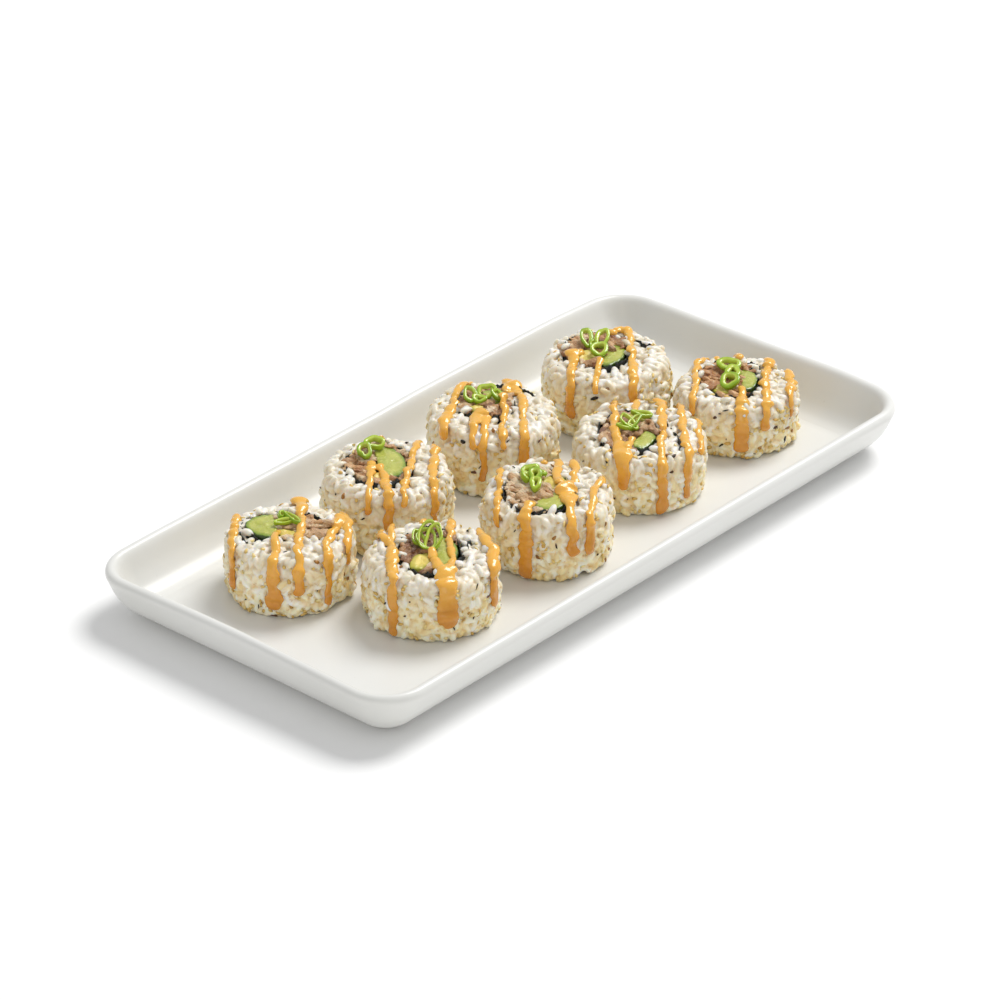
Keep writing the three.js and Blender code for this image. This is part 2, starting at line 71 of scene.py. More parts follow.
# Sauce: strands over each roll as (u, v, width) in millimetres, seen from above at the rice's height; a strand that runs off
# the near edge goes on down the side to the height drip, above the plate.
SAUCE = [
    [dict(p=[(-19.4, 18, 3.0), (-19.8, 10, 3.2), (-20.2, 1, 3.2), (-20.4, -7, 3.4)], drip=7.5, w=4.2),
     dict(p=[(-3.4, 0.5, 2.6), (-5.0, -4, 2.8), (-4.6, -10, 3.0), (-5.0, -17, 3.2), (-5.3, -21, 4.2)], drip=3.6, w=6.6),
     dict(p=[(2.2, 23.6, 6.0), (3.4, 19, 4.6), (3.9, 12, 3.0), (4.6, 5, 2.8), (3.7, -2, 2.9), (3.4, -9, 3.1), (3.8, -16, 3.2), (4.2, -21, 3.4)], drip=9.5, w=4.6),
     dict(p=[(19.0, 12.6, 4.4), (17.0, 4, 3.4), (14.8, -3, 3.0), (14.2, -10, 3.0), (14.6, -15, 3.2)], drip=3.0, w=3.2),
     dict(p=[(18.6, 12.4, 3.4), (20.6, 7.6, 3.2), (21.6, 4.2, 3.2)], drip=14.5, w=3.4)],
    [dict(p=[(-14.8, 20, 2.4), (-14.6, 13, 2.4), (-14.4, 6, 3.0), (-14.2, -1, 3.6), (-13.8, -7, 4.4), (-13.8, -13, 4.2), (-13.2, -18, 3.8)], drip=0.9, w=4.2),
     dict(p=[(-18.9, 15, 2.8), (-17.6, 10, 2.8), (-14.8, 5, 3.0)], drip=None, w=0),
     dict(p=[(0.0, 0.6, 3.2), (0.8, -5, 3.2), (2.2, -10, 3.4), (4.6, -15, 5.0), (5.8, -19, 7.4)], drip=6.2, w=7.6),
     dict(p=[(6.7, 21.5, 2.8), (6.4, 15, 3.0), (6.7, 8.5, 2.6), (7.0, 2, 2.6), (7.5, -5, 2.8), (7.0, -11, 3.2), (6.4, -17, 4.6)], drip=None, w=0),
     dict(p=[(17.0, 16.5, 2.8), (18.6, 11, 3.6), (20.6, 6.5, 4.0), (22.2, 2.5, 4.4)], drip=7.8, w=4.8),
     dict(p=[(-22.6, 6.5, 2.2), (-23.2, 2.5, 2.2)], drip=4.6, w=2.6),
     dict(p=[(-3.3, 23.0, 2.6), (-3.4, 19.5, 2.6)], drip=None, w=0)],
    [dict(p=[(-3.2, 23.2, 2.8), (-2.8, 19.6, 2.8), (-2.6, 16.4, 2.4)], drip=None, w=0),
     dict(p=[(-6.2, 4.5, 4.2), (-6.0, -1, 3.2), (-5.8, -8, 2.4), (-6.0, -14, 2.2), (-6.2, -20, 2.4)], drip=18.0, w=2.6),
     dict(p=[(-3.3, 1.6, 3.0), (-1.2, -4, 3.2), (-0.4, -9, 3.2), (0.4, -15, 3.4), (1.2, -21, 3.4)], drip=11.0, w=4.0),
     dict(p=[(11.6, 21.6, 3.2), (10.8, 18.5, 3.0), (9.8, 12, 2.6), (9.2, 6, 2.4), (8.3, 0, 2.6), (7.4, -7, 2.6), (6.7, -13, 2.8), (6.7, -19, 2.6)], drip=21.5, w=2.8),
     dict(p=[(16.4, 18.4, 3.6), (17.4, 14, 3.0), (17.5, 8, 3.0), (17.0, 1, 3.2), (17.1, -6, 3.2), (17.6, -12, 3.2)], drip=9.5, w=3.4)],
    [dict(p=[(-23.0, 4, 2.2), (-23.2, -2, 2.4)], drip=17.5, w=2.6),
     dict(p=[(-17.4, 12, 2.4), (-17.5, 5, 2.6), (-18.0, -3, 2.6), (-18.4, -9, 2.6), (-18.4, -14, 2.8)], drip=19.0, w=3.0),
     dict(p=[(-5.0, -10.5, 3.0), (-7.4, -15, 4.0), (-8.2, -20, 5.0)], drip=0.9, w=5.6),
     dict(p=[(-1.7, 21.5, 2.6), (-1.2, 18, 2.4)], drip=None, w=0),
     dict(p=[(4.4, 20.0, 3.2), (3.8, 14, 3.2), (3.6, 8, 3.4), (5.2, 2.4, 4.2)], drip=None, w=0),
     dict(p=[(10.0, 18.5, 3.0), (10.0, 12, 3.0), (9.6, 6, 3.0), (7.6, 2, 3.6), (6.8, -2, 7.2), (7.6, -6.5, 6.2), (7.9, -12, 3.8), (8.8, -19, 3.6), (9.6, -22, 4.4)], drip=11.0, w=4.8),
     dict(p=[(20.8, 9.6, 3.2), (19.0, 6.5, 2.8), (17.2, 0, 2.6), (16.7, -6, 2.6), (15.8, -12, 2.8), (14.4, -18, 3.4), (13.2, -20.4, 4.2)], drip=9.0, w=4.6),
     dict(p=[(23.6, 3.5, 2.4), (23.8, -1, 2.4)], drip=10.0, w=2.6)],
    [dict(p=[(-9.0, 22.4, 3.0), (-11.2, 19.6, 3.0), (-13.2, 14.5, 3.2), (-14.7, 9, 3.0), (-15.4, 2.5, 3.4), (-16.8, -4, 3.8), (-18.3, -10, 4.0), (-18.6, -15.5, 3.6)], drip=20.5, w=3.0),
     dict(p=[(-4.2, -1.4, 6.8), (-5.6, -6, 6.6), (-6.8, -11, 3.4), (-7.4, -17, 3.0), (-7.5, -22, 3.2)], drip=21.0, w=3.4),
     dict(p=[(-3.2, -4.5, 4.6), (-2.6, -11, 3.4), (-3.2, -18, 3.0), (-3.7, -23, 3.0)], drip=7.0, w=3.2),
     dict(p=[(4.2, 8.0, 3.4), (3.5, 3.5, 3.0), (4.6, -2, 2.8), (4.2, -8, 2.4), (3.7, -15, 2.6), (4.2, -21, 3.0)], drip=21.5, w=3.2),
     dict(p=[(6.4, 20.4, 5.2), (8.6, 20.0, 4.6), (9.2, 15, 3.8), (10.8, 9, 3.2), (11.7, 2, 3.0), (11.2, -6, 3.0), (11.7, -13, 3.2), (11.7, -19, 3.4)], drip=13.0, w=4.2),
     dict(p=[(5.8, 20.2, 4.0), (5.0, 15.5, 2.8), (5.6, 11.5, 2.4)], drip=None, w=0),
     dict(p=[(23.6, 6.5, 2.2), (24.0, 1, 2.2)], drip=6.5, w=2.6)],
    [dict(p=[(-9.2, 21.6, 2.4), (-9.6, 16, 2.6), (-9.6, 8, 3.4), (-9.6, 1, 3.4), (-9.2, -5, 3.4), (-8.2, -10, 4.4), (-7.2, -15.5, 6.2), (-7.0, -21, 5.8)], drip=11.5, w=5.2),
     dict(p=[(-3.3, -6, 3.0), (-4.4, -11, 3.2), (-6.2, -15, 3.6)], drip=None, w=0),
     dict(p=[(-0.6, 22.6, 3.2), (-1.4, 18.5, 2.4), (-1.8, 14.5, 2.2)], drip=None, w=0),
     dict(p=[(8.2, 21.6, 5.2), (8.4, 17.5, 3.6), (8.5, 12, 3.0), (8.7, 5, 3.6), (8.3, -1, 2.8), (7.9, -6.5, 3.2), (7.2, -12, 2.8), (7.5, -18, 3.2), (8.2, -22, 4.0)], drip=1.2, w=4.6),
     dict(p=[(15.8, 17.6, 3.0), (15.8, 11, 3.0), (15.8, 3, 2.8), (16.7, -5, 2.8), (17.2, -12, 3.2), (17.8, -16, 3.8)], drip=3.6, w=4.2),
     dict(p=[(22.2, 11.2, 2.8), (22.2, 4, 2.6), (22.6, -3, 2.4)], drip=21.0, w=2.6),
     dict(p=[(-23.6, 6, 2.4), (-24.2, 0, 2.6)], drip=13.5, w=3.0)],
    [dict(p=[(2.2, 15.0, 2.6), (3.0, 19.6, 3.2), (5.8, 22.4, 3.6), (8.8, 20.4, 3.4), (9.4, 15.5, 3.2), (9.6, 8, 3.0), (9.8, 1, 3.2), (10.0, -7, 3.2), (10.0, -15, 3.4), (9.7, -21, 3.4)], drip=15.5, w=3.6),
     dict(p=[(-8.2, 1.8, 4.0), (-12.6, 1.2, 5.6), (-13.2, -5, 3.8), (-13.8, -12, 3.4), (-14.2, -18, 3.6)], drip=9.0, w=4.4),
     dict(p=[(-2.4, -4.8, 3.4), (-3.2, -10, 2.6), (-4.2, -15.5, 2.4), (-4.6, -20.5, 2.6)], drip=22.5, w=2.6)],
    [dict(p=[(-10.8, 20.4, 2.6), (-13.8, 17.4, 2.8), (-15.1, 12, 2.8), (-16.2, 4.5, 2.8), (-16.2, -3.5, 2.6), (-17.4, -10, 2.8), (-17.6, -14.5, 3.0)], drip=14.5, w=2.8),
     dict(p=[(-6.7, 22.0, 2.6), (-5.8, 19.4, 2.4)], drip=None, w=0),
     dict(p=[(1.7, 22.4, 2.6), (1.4, 19.4, 2.4)], drip=None, w=0),
     dict(p=[(1.9, -3.6, 2.6), (1.2, -10, 3.6), (1.2, -16, 4.6), (0.8, -21, 5.2)], drip=3.4, w=5.8),
     dict(p=[(13.2, 17.6, 3.6), (12.0, 12.5, 3.2), (10.5, 6.5, 3.6), (10.8, 0, 3.4), (10.8, -7, 3.4), (10.4, -14, 3.6), (10.1, -19, 4.0)], drip=11.5, w=4.4),
     dict(p=[(20.6, 9.6, 3.4), (20.6, 3, 3.4), (20.4, -4, 3.4), (19.4, -11, 2.8)], drip=13.0, w=2.4)],
]

# How little rice lies over each roll's ring of nori: lower is more.
COVER = [0.8, 0.6, 0.65, 0.55, 0.75, 0.95, 0.6, 0.6]

# Onion slices as they are seen: (u, v, a, b, wall, length, turn, tilt).
RINGS = [
    [(0.8, 5.6, 5.0, 2.2, 0.8, 1.6, 125, 14), (-2.4, 3.4, 4.4, 1.6, 0.8, 1.5, 20, 12), (-3.4, 7.6, 2.4, 1.3, 0.7, 1.8, 80, 30)],
    [(-0.7, 3.4, 5.2, 6.6, 0.75, 1.6, 6, 30), (-1.8, 3.2, 4.2, 5.6, 0.75, 1.6, 24, 24), (0.9, 3.0, 3.7, 6.0, 0.7, 1.5, -22, 33), (-4.6, 5.0, 2.6, 5.0, 0.8, 1.6, 16, 16)],
    [(-8.4, 6.6, 3.1, 4.2, 0.9, 2.2, 0, 24), (-5.0, 13.0, 4.4, 3.4, 0.9, 2.4, 20, 20)],
    [(-6.4, 7.8, 3.9, 3.0, 1.1, 2.6, 20, 20), (-4.4, 3.8, 2.9, 3.7, 1.1, 2.6, -14, 20), (-4.4, -2.2, 2.6, 3.6, 1.1, 2.6, 8, 16), (-7.8, 3.6, 2.2, 3.0, 1.0, 2.2, 60, 26), (-2.6, 7.0, 2.2, 2.6, 1.0, 2.0, 100, 24)],
    [(-8.6, 5.4, 3.0, 4.6, 0.85, 1.7, 18, 26), (-2.4, 8.2, 4.2, 4.0, 0.85, 1.7, -30, 26), (-5.2, 3.6, 3.2, 2.6, 0.85, 1.6, 0, 14), (1.6, 6.6, 2.6, 3.8, 0.8, 1.6, 40, 20)],
    [(-4.4, 0.4, 2.6, 5.2, 0.8, 1.5, 40, 20), (-2.2, 0.8, 2.0, 5.4, 0.8, 1.5, -34, 16), (-5.6, -1.6, 2.0, 4.0, 0.8, 1.5, 88, 12), (0.6, 8.6, 2.2, 4.6, 0.9, 1.6, 80, 8)],
    [(-7.6, 7.8, 2.9, 5.2, 0.95, 1.9, 14, 24), (-1.6, 7.0, 3.3, 5.4, 0.95, 1.9, -10, 22), (-2.8, -1.0, 3.9, 4.4, 1.0, 1.9, 10, 18), (-4.8, 4.2, 2.0, 2.8, 0.8, 1.7, 0, 20)],
    [(-3.0, 9.6, 5.4, 3.9, 1.7, 2.0, 0, 12), (-3.2, -4.6, 4.0, 5.0, 1.2, 1.9, -30, 20), (-1.6, 3.4, 3.4, 4.6, 1.3, 1.8, -14, 10)],
]

# Fish in each roll: how pale, how salmon-coloured, and which way its flakes lie.
FISH = [(0.42, 0.22, 30), (0.0, 0.22, 100), (0.32, 0.45, 60), (0.50, 0.35, 20), (0.20, 0.30, 70), (0.18, 0.12, 120), (0.16, 0.50, 0), (0.16, 0.80, 20)]


# ---------------------------------------------------------------- smooth noise, the same on every run
def wobble(seed, size, octaves=2):
    """A smooth function of place, about -1 to 1, with bumps of the given size in millimetres."""
    g = np.random.default_rng(seed)
    parts = []
    for o in range(octaves):
        n = 10
        d = g.normal(size=(n, 3))
        d /= np.linalg.norm(d, axis=1, keepdims=True)
        k = d * (2 * math.pi / (size / 2**o)) * g.uniform(0.6, 1.4, size=(n, 1))
        parts.append((k, g.uniform(0, 2 * math.pi, n), 0.5**o * math.sqrt(2.0 / n)))
    total = sum(0.5**o for o in range(octaves))

    def f(p):
        p = np.asarray(p, float)
        return sum(a * np.sin(p @ k.T + ph).sum(-1) for k, ph, a in parts) / total

    return f


# ---------------------------------------------------------------- mesh helpers
def build(name, verts_mm, quads=None, tris=None, values=None, smooth=True):
    """A mesh object from millimetre points. values: name -> one number per point."""
    v = np.asarray(verts_mm, np.float64) * MM
    q = np.zeros((0, 4), np.int32) if quads is None else np.asarray(quads, np.int32)
    t = np.zeros((0, 3), np.int32) if tris is None else np.asarray(tris, np.int32)
    me = bpy.data.meshes.new(name)
    me.vertices.add(len(v))
    me.vertices.foreach_set("co", v.astype(np.float32).ravel())
    loops = np.concatenate([q.ravel(), t.ravel()]).astype(np.int32)
    starts = np.concatenate([np.arange(len(q)) * 4, len(q) * 4 + np.arange(len(t)) * 3]).astype(np.int32)
    me.loops.add(len(loops))
    me.loops.foreach_set("vertex_index", loops)
    me.polygons.add(len(starts))
    me.polygons.foreach_set("loop_start", starts)
    me.polygons.foreach_set("use_smooth", np.full(len(starts), smooth))
    me.update(calc_edges=True)
    me.validate()
    for key, val in (values or {}).items():
        a = me.attributes.new(key, "FLOAT", "POINT")
        a.data.foreach_set("value", np.asarray(val, np.float32))
    o = bpy.data.objects.new(name, me)
    bpy.context.scene.collection.objects.link(o)
    return o


def grid_faces(rows, cols, close_rows=False, close_cols=True):
    r = np.arange(rows if close_rows else rows - 1)
    c = np.arange(cols if close_cols else cols - 1)
    R, C = np.meshgrid(r, c, indexing="ij")
    R2, C2 = (R + 1) % rows, (C + 1) % cols
    return np.stack([R * cols + C, R * cols + C2, R2 * cols + C2, R2 * cols + C], -1).reshape(-1, 4)


def ball(n_around=8, n_rings=6):
    """A unit ball: points and triangles, for grains, seeds and flakes."""
    pts = [(0, 0, -1)]
    for i in range(1, n_rings):
        a = math.pi * i / n_rings
        for j in range(n_around):
            b = 2 * math.pi * (j + 0.5 * (i % 2)) / n_around
            pts.append((math.sin(a) * math.cos(b), math.sin(a) * math.sin(b), -math.cos(a)))
    pts.append((0, 0, 1))
    tris = []
    top = 1 + (n_rings - 1) * n_around
    for j in range(n_around):
        k = (j + 1) % n_around
        tris.append((0, 1 + k, 1 + j))
        tris.append((top, top - n_around + j, top - n_around + k))
    for i in range(n_rings - 2):
        for j in range(n_around):
            k = (j + 1) % n_around
            a, b = 1 + i * n_around + j, 1 + i * n_around + k
            c, d = a + n_around, b + n_around
            if i % 2 == 0:
                tris += [(a, b, c), (b, d, c)]
            else:
                tris += [(a, b, d), (a, d, c)]
    return np.array(pts, float), np.array(tris, np.int32)


def frames_for(normals, angles, tilt=None):
    """For each normal a right-handed frame: first axis in the surface at the given angle, third along the normal."""
    n = normals / np.linalg.norm(normals, axis=1, keepdims=True)
    up = np.where(np.abs(n[:, 2:3]) > 0.85, np.array([[1.0, 0, 0]]), np.array([[0, 0, 1.0]]))
    a = np.cross(up, n)
    a /= np.linalg.norm(a, axis=1, keepdims=True)
    b = np.cross(n, a)
    x = a * np.cos(angles)[:, None] + b * np.sin(angles)[:, None]
    if tilt is not None:
        x = x * np.cos(tilt)[:, None] + n * np.sin(tilt)[:, None]
        n = np.cross(x, np.cross(n, x))
        n /= np.linalg.norm(n, axis=1, keepdims=True)
    y = np.cross(n, x)
    return np.stack([x, y, n], -1)  # columns


def scatter(centres, frames, scales, bend=None, template=None, rough=None):
    """Copies of a template ball, stretched, bent and turned, as one set of points and triangles."""
    pts, tris = template
    m, k = len(centres), len(pts)
    local = pts[None, :, :] * scales[:, None, :]
    if bend is not None:
        local[:, :, 1] += bend[:, None] * (local[:, :, 0] ** 2)
    if rough is not None:
        local *= 1 + rough
    world = np.einsum("mij,mkj->mki", frames, local) + centres[:, None, :]
    faces = tris[None, :, :] + (np.arange(m) * k)[:, None, None]
    return world.reshape(-1, 3), faces.reshape(-1, 3)


def place(roll, p):
    """Roll's own (u, v, z above the floor) to the row frame, millimetres."""
    p = np.asarray(p, float)
    return np.array([roll["x"], roll["y"], FLOOR_Z]) + p[..., 0:1] * U_DIR + p[..., 1:2] * V_DIR + p[..., 2:3] * np.array([0, 0, 1.0])


def turn_only(p):
    p = np.asarray(p, float)
    return p[..., 0:1] * U_DIR + p[..., 1:2] * V_DIR + p[..., 2:3] * np.array([0, 0, 1.0])


def catmull(points, step):
    """A smooth curve through rows of numbers, the first two or three of them a place, stepped evenly."""
    p = np.asarray(points, float)
    if len(p) == 2:
        n = max(2, int(np.linalg.norm(p[1, :2] - p[0, :2]) / step) + 1)
        return p[0] + (p[1] - p[0]) * np.linspace(0, 1, n)[:, None]
    ext = np.vstack([2 * p[0] - p[1], p, 2 * p[-1] - p[-2]])
    out = []
    for i in range(1, len(ext) - 2):
        a, b, c, d = ext[i - 1], ext[i], ext[i + 1], ext[i + 2]
        n = max(2, int(np.linalg.norm((c - b)[: min(3, p.shape[1] - 1)]) / step) + 1)
        t = np.linspace(0, 1, n, endpoint=False)[:, None]
        out.append(0.5 * (2 * b + (c - a) * t + (2 * a - 5 * b + 4 * c - d) * t**2 + (3 * b - a - 3 * c + d) * t**3))
    out.append(p[-1:])
    return np.vstack(out)


def remeshed(obj, voxel, smooth=2):
    """The object's strands run together into one skin."""
    mod = obj.modifiers.new("join", "REMESH")
    mod.mode = "VOXEL"
    mod.voxel_size = voxel * MM
    mod.adaptivity = 0
    mod.use_smooth_shade = True
    if smooth:
        sm = obj.modifiers.new("soften", "SMOOTH")
        sm.factor = 0.5
        sm.iterations = smooth
    dg = bpy.context.evaluated_depsgraph_get()
    me = bpy.data.meshes.new_from_object(obj.evaluated_get(dg))
    old = obj.data
    obj.modifiers.clear()
    obj.data = me
    bpy.data.meshes.remove(old)
    me.polygons.foreach_set("use_smooth", np.full(len(me.polygons), True))
    return obj


def thinned(obj, most):
    """Fewer triangles, where there are more than needed for the shape."""
    obj.data.calc_loop_triangles()
    have = len(obj.data.loop_triangles)
    if have > most:
        mod = obj.modifiers.new("thin", "DECIMATE")
        mod.ratio = most / have
        dg = bpy.context.evaluated_depsgraph_get()
        me = bpy.data.meshes.new_from_object(obj.evaluated_get(dg))
        old = obj.data
        obj.modifiers.clear()
        obj.data = me
        bpy.data.meshes.remove(old)
        # thinning can leave a few doubled or empty faces
        me.validate(verbose=False, clean_customdata=False)
        me.update()
        me.polygons.foreach_set("use_smooth", np.full(len(me.polygons), True))
    return obj


def packed(p, axis, along, across, held):
    """Which places leave every grain an oval of room, long way along the grain, clear of those already held."""
    k0 = len(held[0])
    C, A = np.zeros((len(p) + k0, 3)), np.zeros((len(p) + k0, 3))
    C[:k0], A[:k0] = held
    m, chosen = k0, []
    ka, kc = 1.0 / along**2, 1.0 / across**2
    for k in range(len(p)):
        d = C[:m] - p[k]
        sq = np.einsum("ij,ij->i", d, d)
        near = np.nonzero(sq < along * along)[0]
        if len(near):
            d, sq = d[near], sq[near]
            own, other = (d @ axis[k]) ** 2, np.einsum("ij,ij->i", d, A[near]) ** 2
            if np.min(own * ka + (sq - own) * kc) < 1 or np.min(other * ka + (sq - other) * kc) < 1:
                continue
        C[m], A[m] = p[k], axis[k]
        m += 1
        chosen.append(k)
    return np.array(chosen, int)


def points_of(obj):
    co = np.empty(len(obj.data.vertices) * 3, np.float32)
    obj.data.vertices.foreach_get("co", co)
    return co.reshape(-1, 3).astype(float)


def add_value(obj, name, values):
    a = obj.data.attributes.new(name, "FLOAT", "POINT")
    a.data.foreach_set("value", np.asarray(values, np.float32))


def carried(co, marks, values):
    """The value of the nearest mark, for each point."""
    kd = KDTree(len(marks))
    for k, c in enumerate(marks):
        kd.insert(c, k)
    kd.balance()
    return np.array([values[kd.find(c)[1]] for c in co], np.float32)


# ---------------------------------------------------------------- materials
class Nodes:
    def __init__(self, name):
        self.m = bpy.data.materials.new(name)
        self.m.use_nodes = True
        self.t = self.m.node_tree
        self.bsdf = self.t.nodes["Principled BSDF"]
        self.coord = self.t.nodes.new("ShaderNodeTexCoord")

    def new(self, kind, **props):
        n = self.t.nodes.new(kind)
        inputs = props.pop("inputs", {})
        for k, v in props.items():
            setattr(n, k, v)
        for k, v in inputs.items():
            if isinstance(v, bpy.types.NodeSocket):
                self.t.links.new(v, n.inputs[k])
            else:
                n.inputs[k].default_value = v
        return n

    def link(self, a, b):
        self.t.links.new(a, b)

    def noise(self, scale, detail=3.0, rough=0.55, dist=0.0, vec=None):
        n = self.new("ShaderNodeTexNoise", inputs={"Scale": scale, "Detail": detail, "Roughness": rough, "Distortion": dist})
        self.link(vec or self.coord.outputs["Object"], n.inputs["Vector"])
        return n.outputs["Fac"]

    def voronoi(self, scale, feature="F1", rand=1.0, vec=None, out="Distance"):
        n = self.new("ShaderNodeTexVoronoi", feature=feature, inputs={"Scale": scale, "Randomness": rand})
        self.link(vec or self.coord.outputs["Object"], n.inputs["Vector"])
        return n.outputs[out]

    def ramp(self, fac, stops, mode="LINEAR"):
        n = self.new("ShaderNodeValToRGB")
        n.color_ramp.interpolation = mode
        e = n.color_ramp.elements
        while len(e) < len(stops):
            e.new(0.5)
        for i, (pos, col) in enumerate(stops):
            e[i].position = pos
            e[i].color = col if len(col) == 4 else (*col, 1)
        self.link(fac, n.inputs["Fac"])
        return n.outputs["Color"]

    def mix(self, fac, a, b, blend="MIX"):
        n = self.new("ShaderNodeMix", data_type="RGBA", blend_type=blend)
        for key, v in ((0, fac), (6, a), (7, b)):
            if isinstance(v, bpy.types.NodeSocket):
                self.link(v, n.inputs[key])
            else:
                n.inputs[key].default_value = v if key == 0 or len(v) == 4 else (*v, 1)
        return n.outputs[2]

    def math(self, op, a, b=0.0, clamp=False):
        n = self.new("ShaderNodeMath", operation=op, use_clamp=clamp)
        for i, v in enumerate((a, b)):
            if isinstance(v, bpy.types.NodeSocket):
                self.link(v, n.inputs[i])
            else:
                n.inputs[i].default_value = v
        return n.outputs[0]

    def mapr(self, v, a, b, c, d):
        n = self.new("ShaderNodeMapRange", inputs={1: a, 2: b, 3: c, 4: d})
        self.link(v, n.inputs[0])
        return n.outputs[0]

    def attr(self, name):
        n = self.new("ShaderNodeAttribute", attribute_name=name)
        return n.outputs["Fac"]

    def height(self):
        s = self.new("ShaderNodeSeparateXYZ")
        self.link(self.coord.outputs["Object"], s.inputs[0])
        return s.outputs["Z"]

    def stretched(self, scale):
        n = self.new("ShaderNodeMapping")
        n.inputs["Scale"].default_value = scale
        self.link(self.coord.outputs["Object"], n.inputs["Vector"])
        return n.outputs[0]

    def bump(self, h, strength, dist):
        n = self.new("ShaderNodeBump", inputs={"Strength": strength, "Distance": dist})
        self.link(h, n.inputs["Height"])
        return n.outputs["Normal"]

    def set(self, **kw):
        for k, v in kw.items():
            s = self.bsdf.inputs[k.replace("_", " ")]
            if isinstance(v, bpy.types.NodeSocket):
                self.link(v, s)
            else:
                s.default_value = v
        return self

    def done(self):
        return self.m


def rgb(r, g, b):
    """A display colour, 0 to 255, as the linear colour that shaders take."""
    return tuple((c / 255 / 12.92) if c / 255 <= 0.04045 else ((c / 255 + 0.055) / 1.055) ** 2.4 for c in (r, g, b))


def porcelain_material():
    n = Nodes("porcelain_glaze")
    tone = n.noise(18, 3)
    col = n.ramp(tone, [(0.3, rgb(223, 223, 219)), (0.7, rgb(228, 228, 225))])
    speck = n.ramp(n.noise(900, 2), [(0.0, (0, 0, 0)), (0.24, (0, 0, 0)), (0.27, (1, 1, 1))])
    col = n.mix(n.math("MULTIPLY", n.math("SUBTRACT", 1.0, speck), 0.25), col, rgb(196, 192, 184))
    wave = n.noise(22, 2)
    fine = n.noise(160, 2)
    h = n.math("ADD", n.math("MULTIPLY", wave, 1.0), n.math("MULTIPLY", fine, 0.06))
    n.set(Base_Color=col, Roughness=n.mapr(n.noise(30, 2), 0.3, 0.7, 0.30, 0.34), Normal=n.bump(h, 0.25, 0.0009))
    n.bsdf.inputs["Coat Weight"].default_value = 0.12
    n.bsdf.inputs["Coat Roughness"].default_value = 0.15
    n.bsdf.inputs["Specular IOR Level"].default_value = 0.3
    return n.done()


def foot_material():
    n = Nodes("porcelain_foot")
    col = n.ramp(n.noise(500, 3), [(0.3, rgb(206, 200, 190)), (0.7, rgb(222, 217, 208))])
    n.set(Base_Color=col, Roughness=n.mapr(n.noise(300, 3), 0.3, 0.7, 0.55, 0.75), Normal=n.bump(n.noise(1800, 3), 0.4, 0.0002))
    return n.done()


def rice_material():
    n = Nodes("cooked_rice")
    tint = n.attr("tint")  # one value for each grain
    low = n.attr("low")  # 1 near the plate, 0 at the top
    crest = n.attr("crest")  # 1 on the outermost grains, 0 in the gaps
    col = n.ramp(tint, [(0.0, rgb(217, 206, 182)), (0.35, rgb(226, 219, 202)), (0.75, rgb(232, 228, 218)), (1.0, rgb(239, 237, 232))])
    # painted light: the side colour is a warmer, lighter copy of the rice colour, lighter to make up for the weaker
    # light on the sides and yellowed for warm bounce light; part of its warmth is a real toasted, oily tint
    side = n.ramp(tint, [(0.0, rgb(245, 217, 152)), (0.3, rgb(252, 236, 190)), (0.6, rgb(254, 246, 218)), (1.0, rgb(255, 252, 244))])
    col = n.mix(n.mapr(low, 0.0, 1.0, 0.0, 0.9), col, side)
    # painted shade: the gaps between grains are mixed towards a darker warm cream, more so low on the side
    gap = n.math("SUBTRACT", 1.0, crest, clamp=True)
    col = n.mix(n.math("MULTIPLY", gap, n.mapr(low, 0.0, 1.0, 0.15, 0.40)), col, rgb(236, 208, 148))
    patch = n.ramp(n.noise(250, 3), [(0.48, (0, 0, 0)), (0.66, (1, 1, 1))])
    col = n.mix(n.math("MULTIPLY", patch, n.mapr(low, 0.0, 1.0, 0.02, 0.55)), col, rgb(230, 196, 124))
    stain = n.ramp(n.noise(480, 2), [(0.60, (0, 0, 0)), (0.68, (1, 1, 1))])
    col = n.mix(n.math("MULTIPLY", stain, n.mapr(low, 0.0, 1.0, 0.03, 0.50)), col, rgb(206, 160, 80))
    n.set(Base_Color=col, Roughness=n.mapr(n.noise(700, 3), 0.3, 0.7, 0.30, 0.46),
          Normal=n.bump(n.math("ADD", n.noise(1500, 3), n.math("MULTIPLY", n.noise(420, 2), 0.8)), 0.22, 0.0004))
    b = n.bsdf.inputs
    b["Subsurface Weight"].default_value = 0.7
    b["Subsurface Radius"].default_value = (1.0, 0.85, 0.6)
    b["Subsurface Scale"].default_value = 0.0024
    b["Specular IOR Level"].default_value = 0.45
    b["Coat Weight"].default_value = 0.12
    b["Coat Roughness"].default_value = 0.25
    return n.done()


def nori_material():
    n = Nodes("nori_sheet")
    col = n.ramp(n.noise(900, 4), [(0.3, rgb(14, 16, 15)), (0.6, rgb(26, 31, 27)), (0.85, rgb(44, 50, 42))])
    n.set(Base_Color=col, Roughness=n.mapr(n.noise(600, 3), 0.3, 0.7, 0.32, 0.55),
          Normal=n.bump(n.math("ADD", n.noise(1400, 4), n.voronoi(1100)), 0.7, 0.0004))
    return n.done()


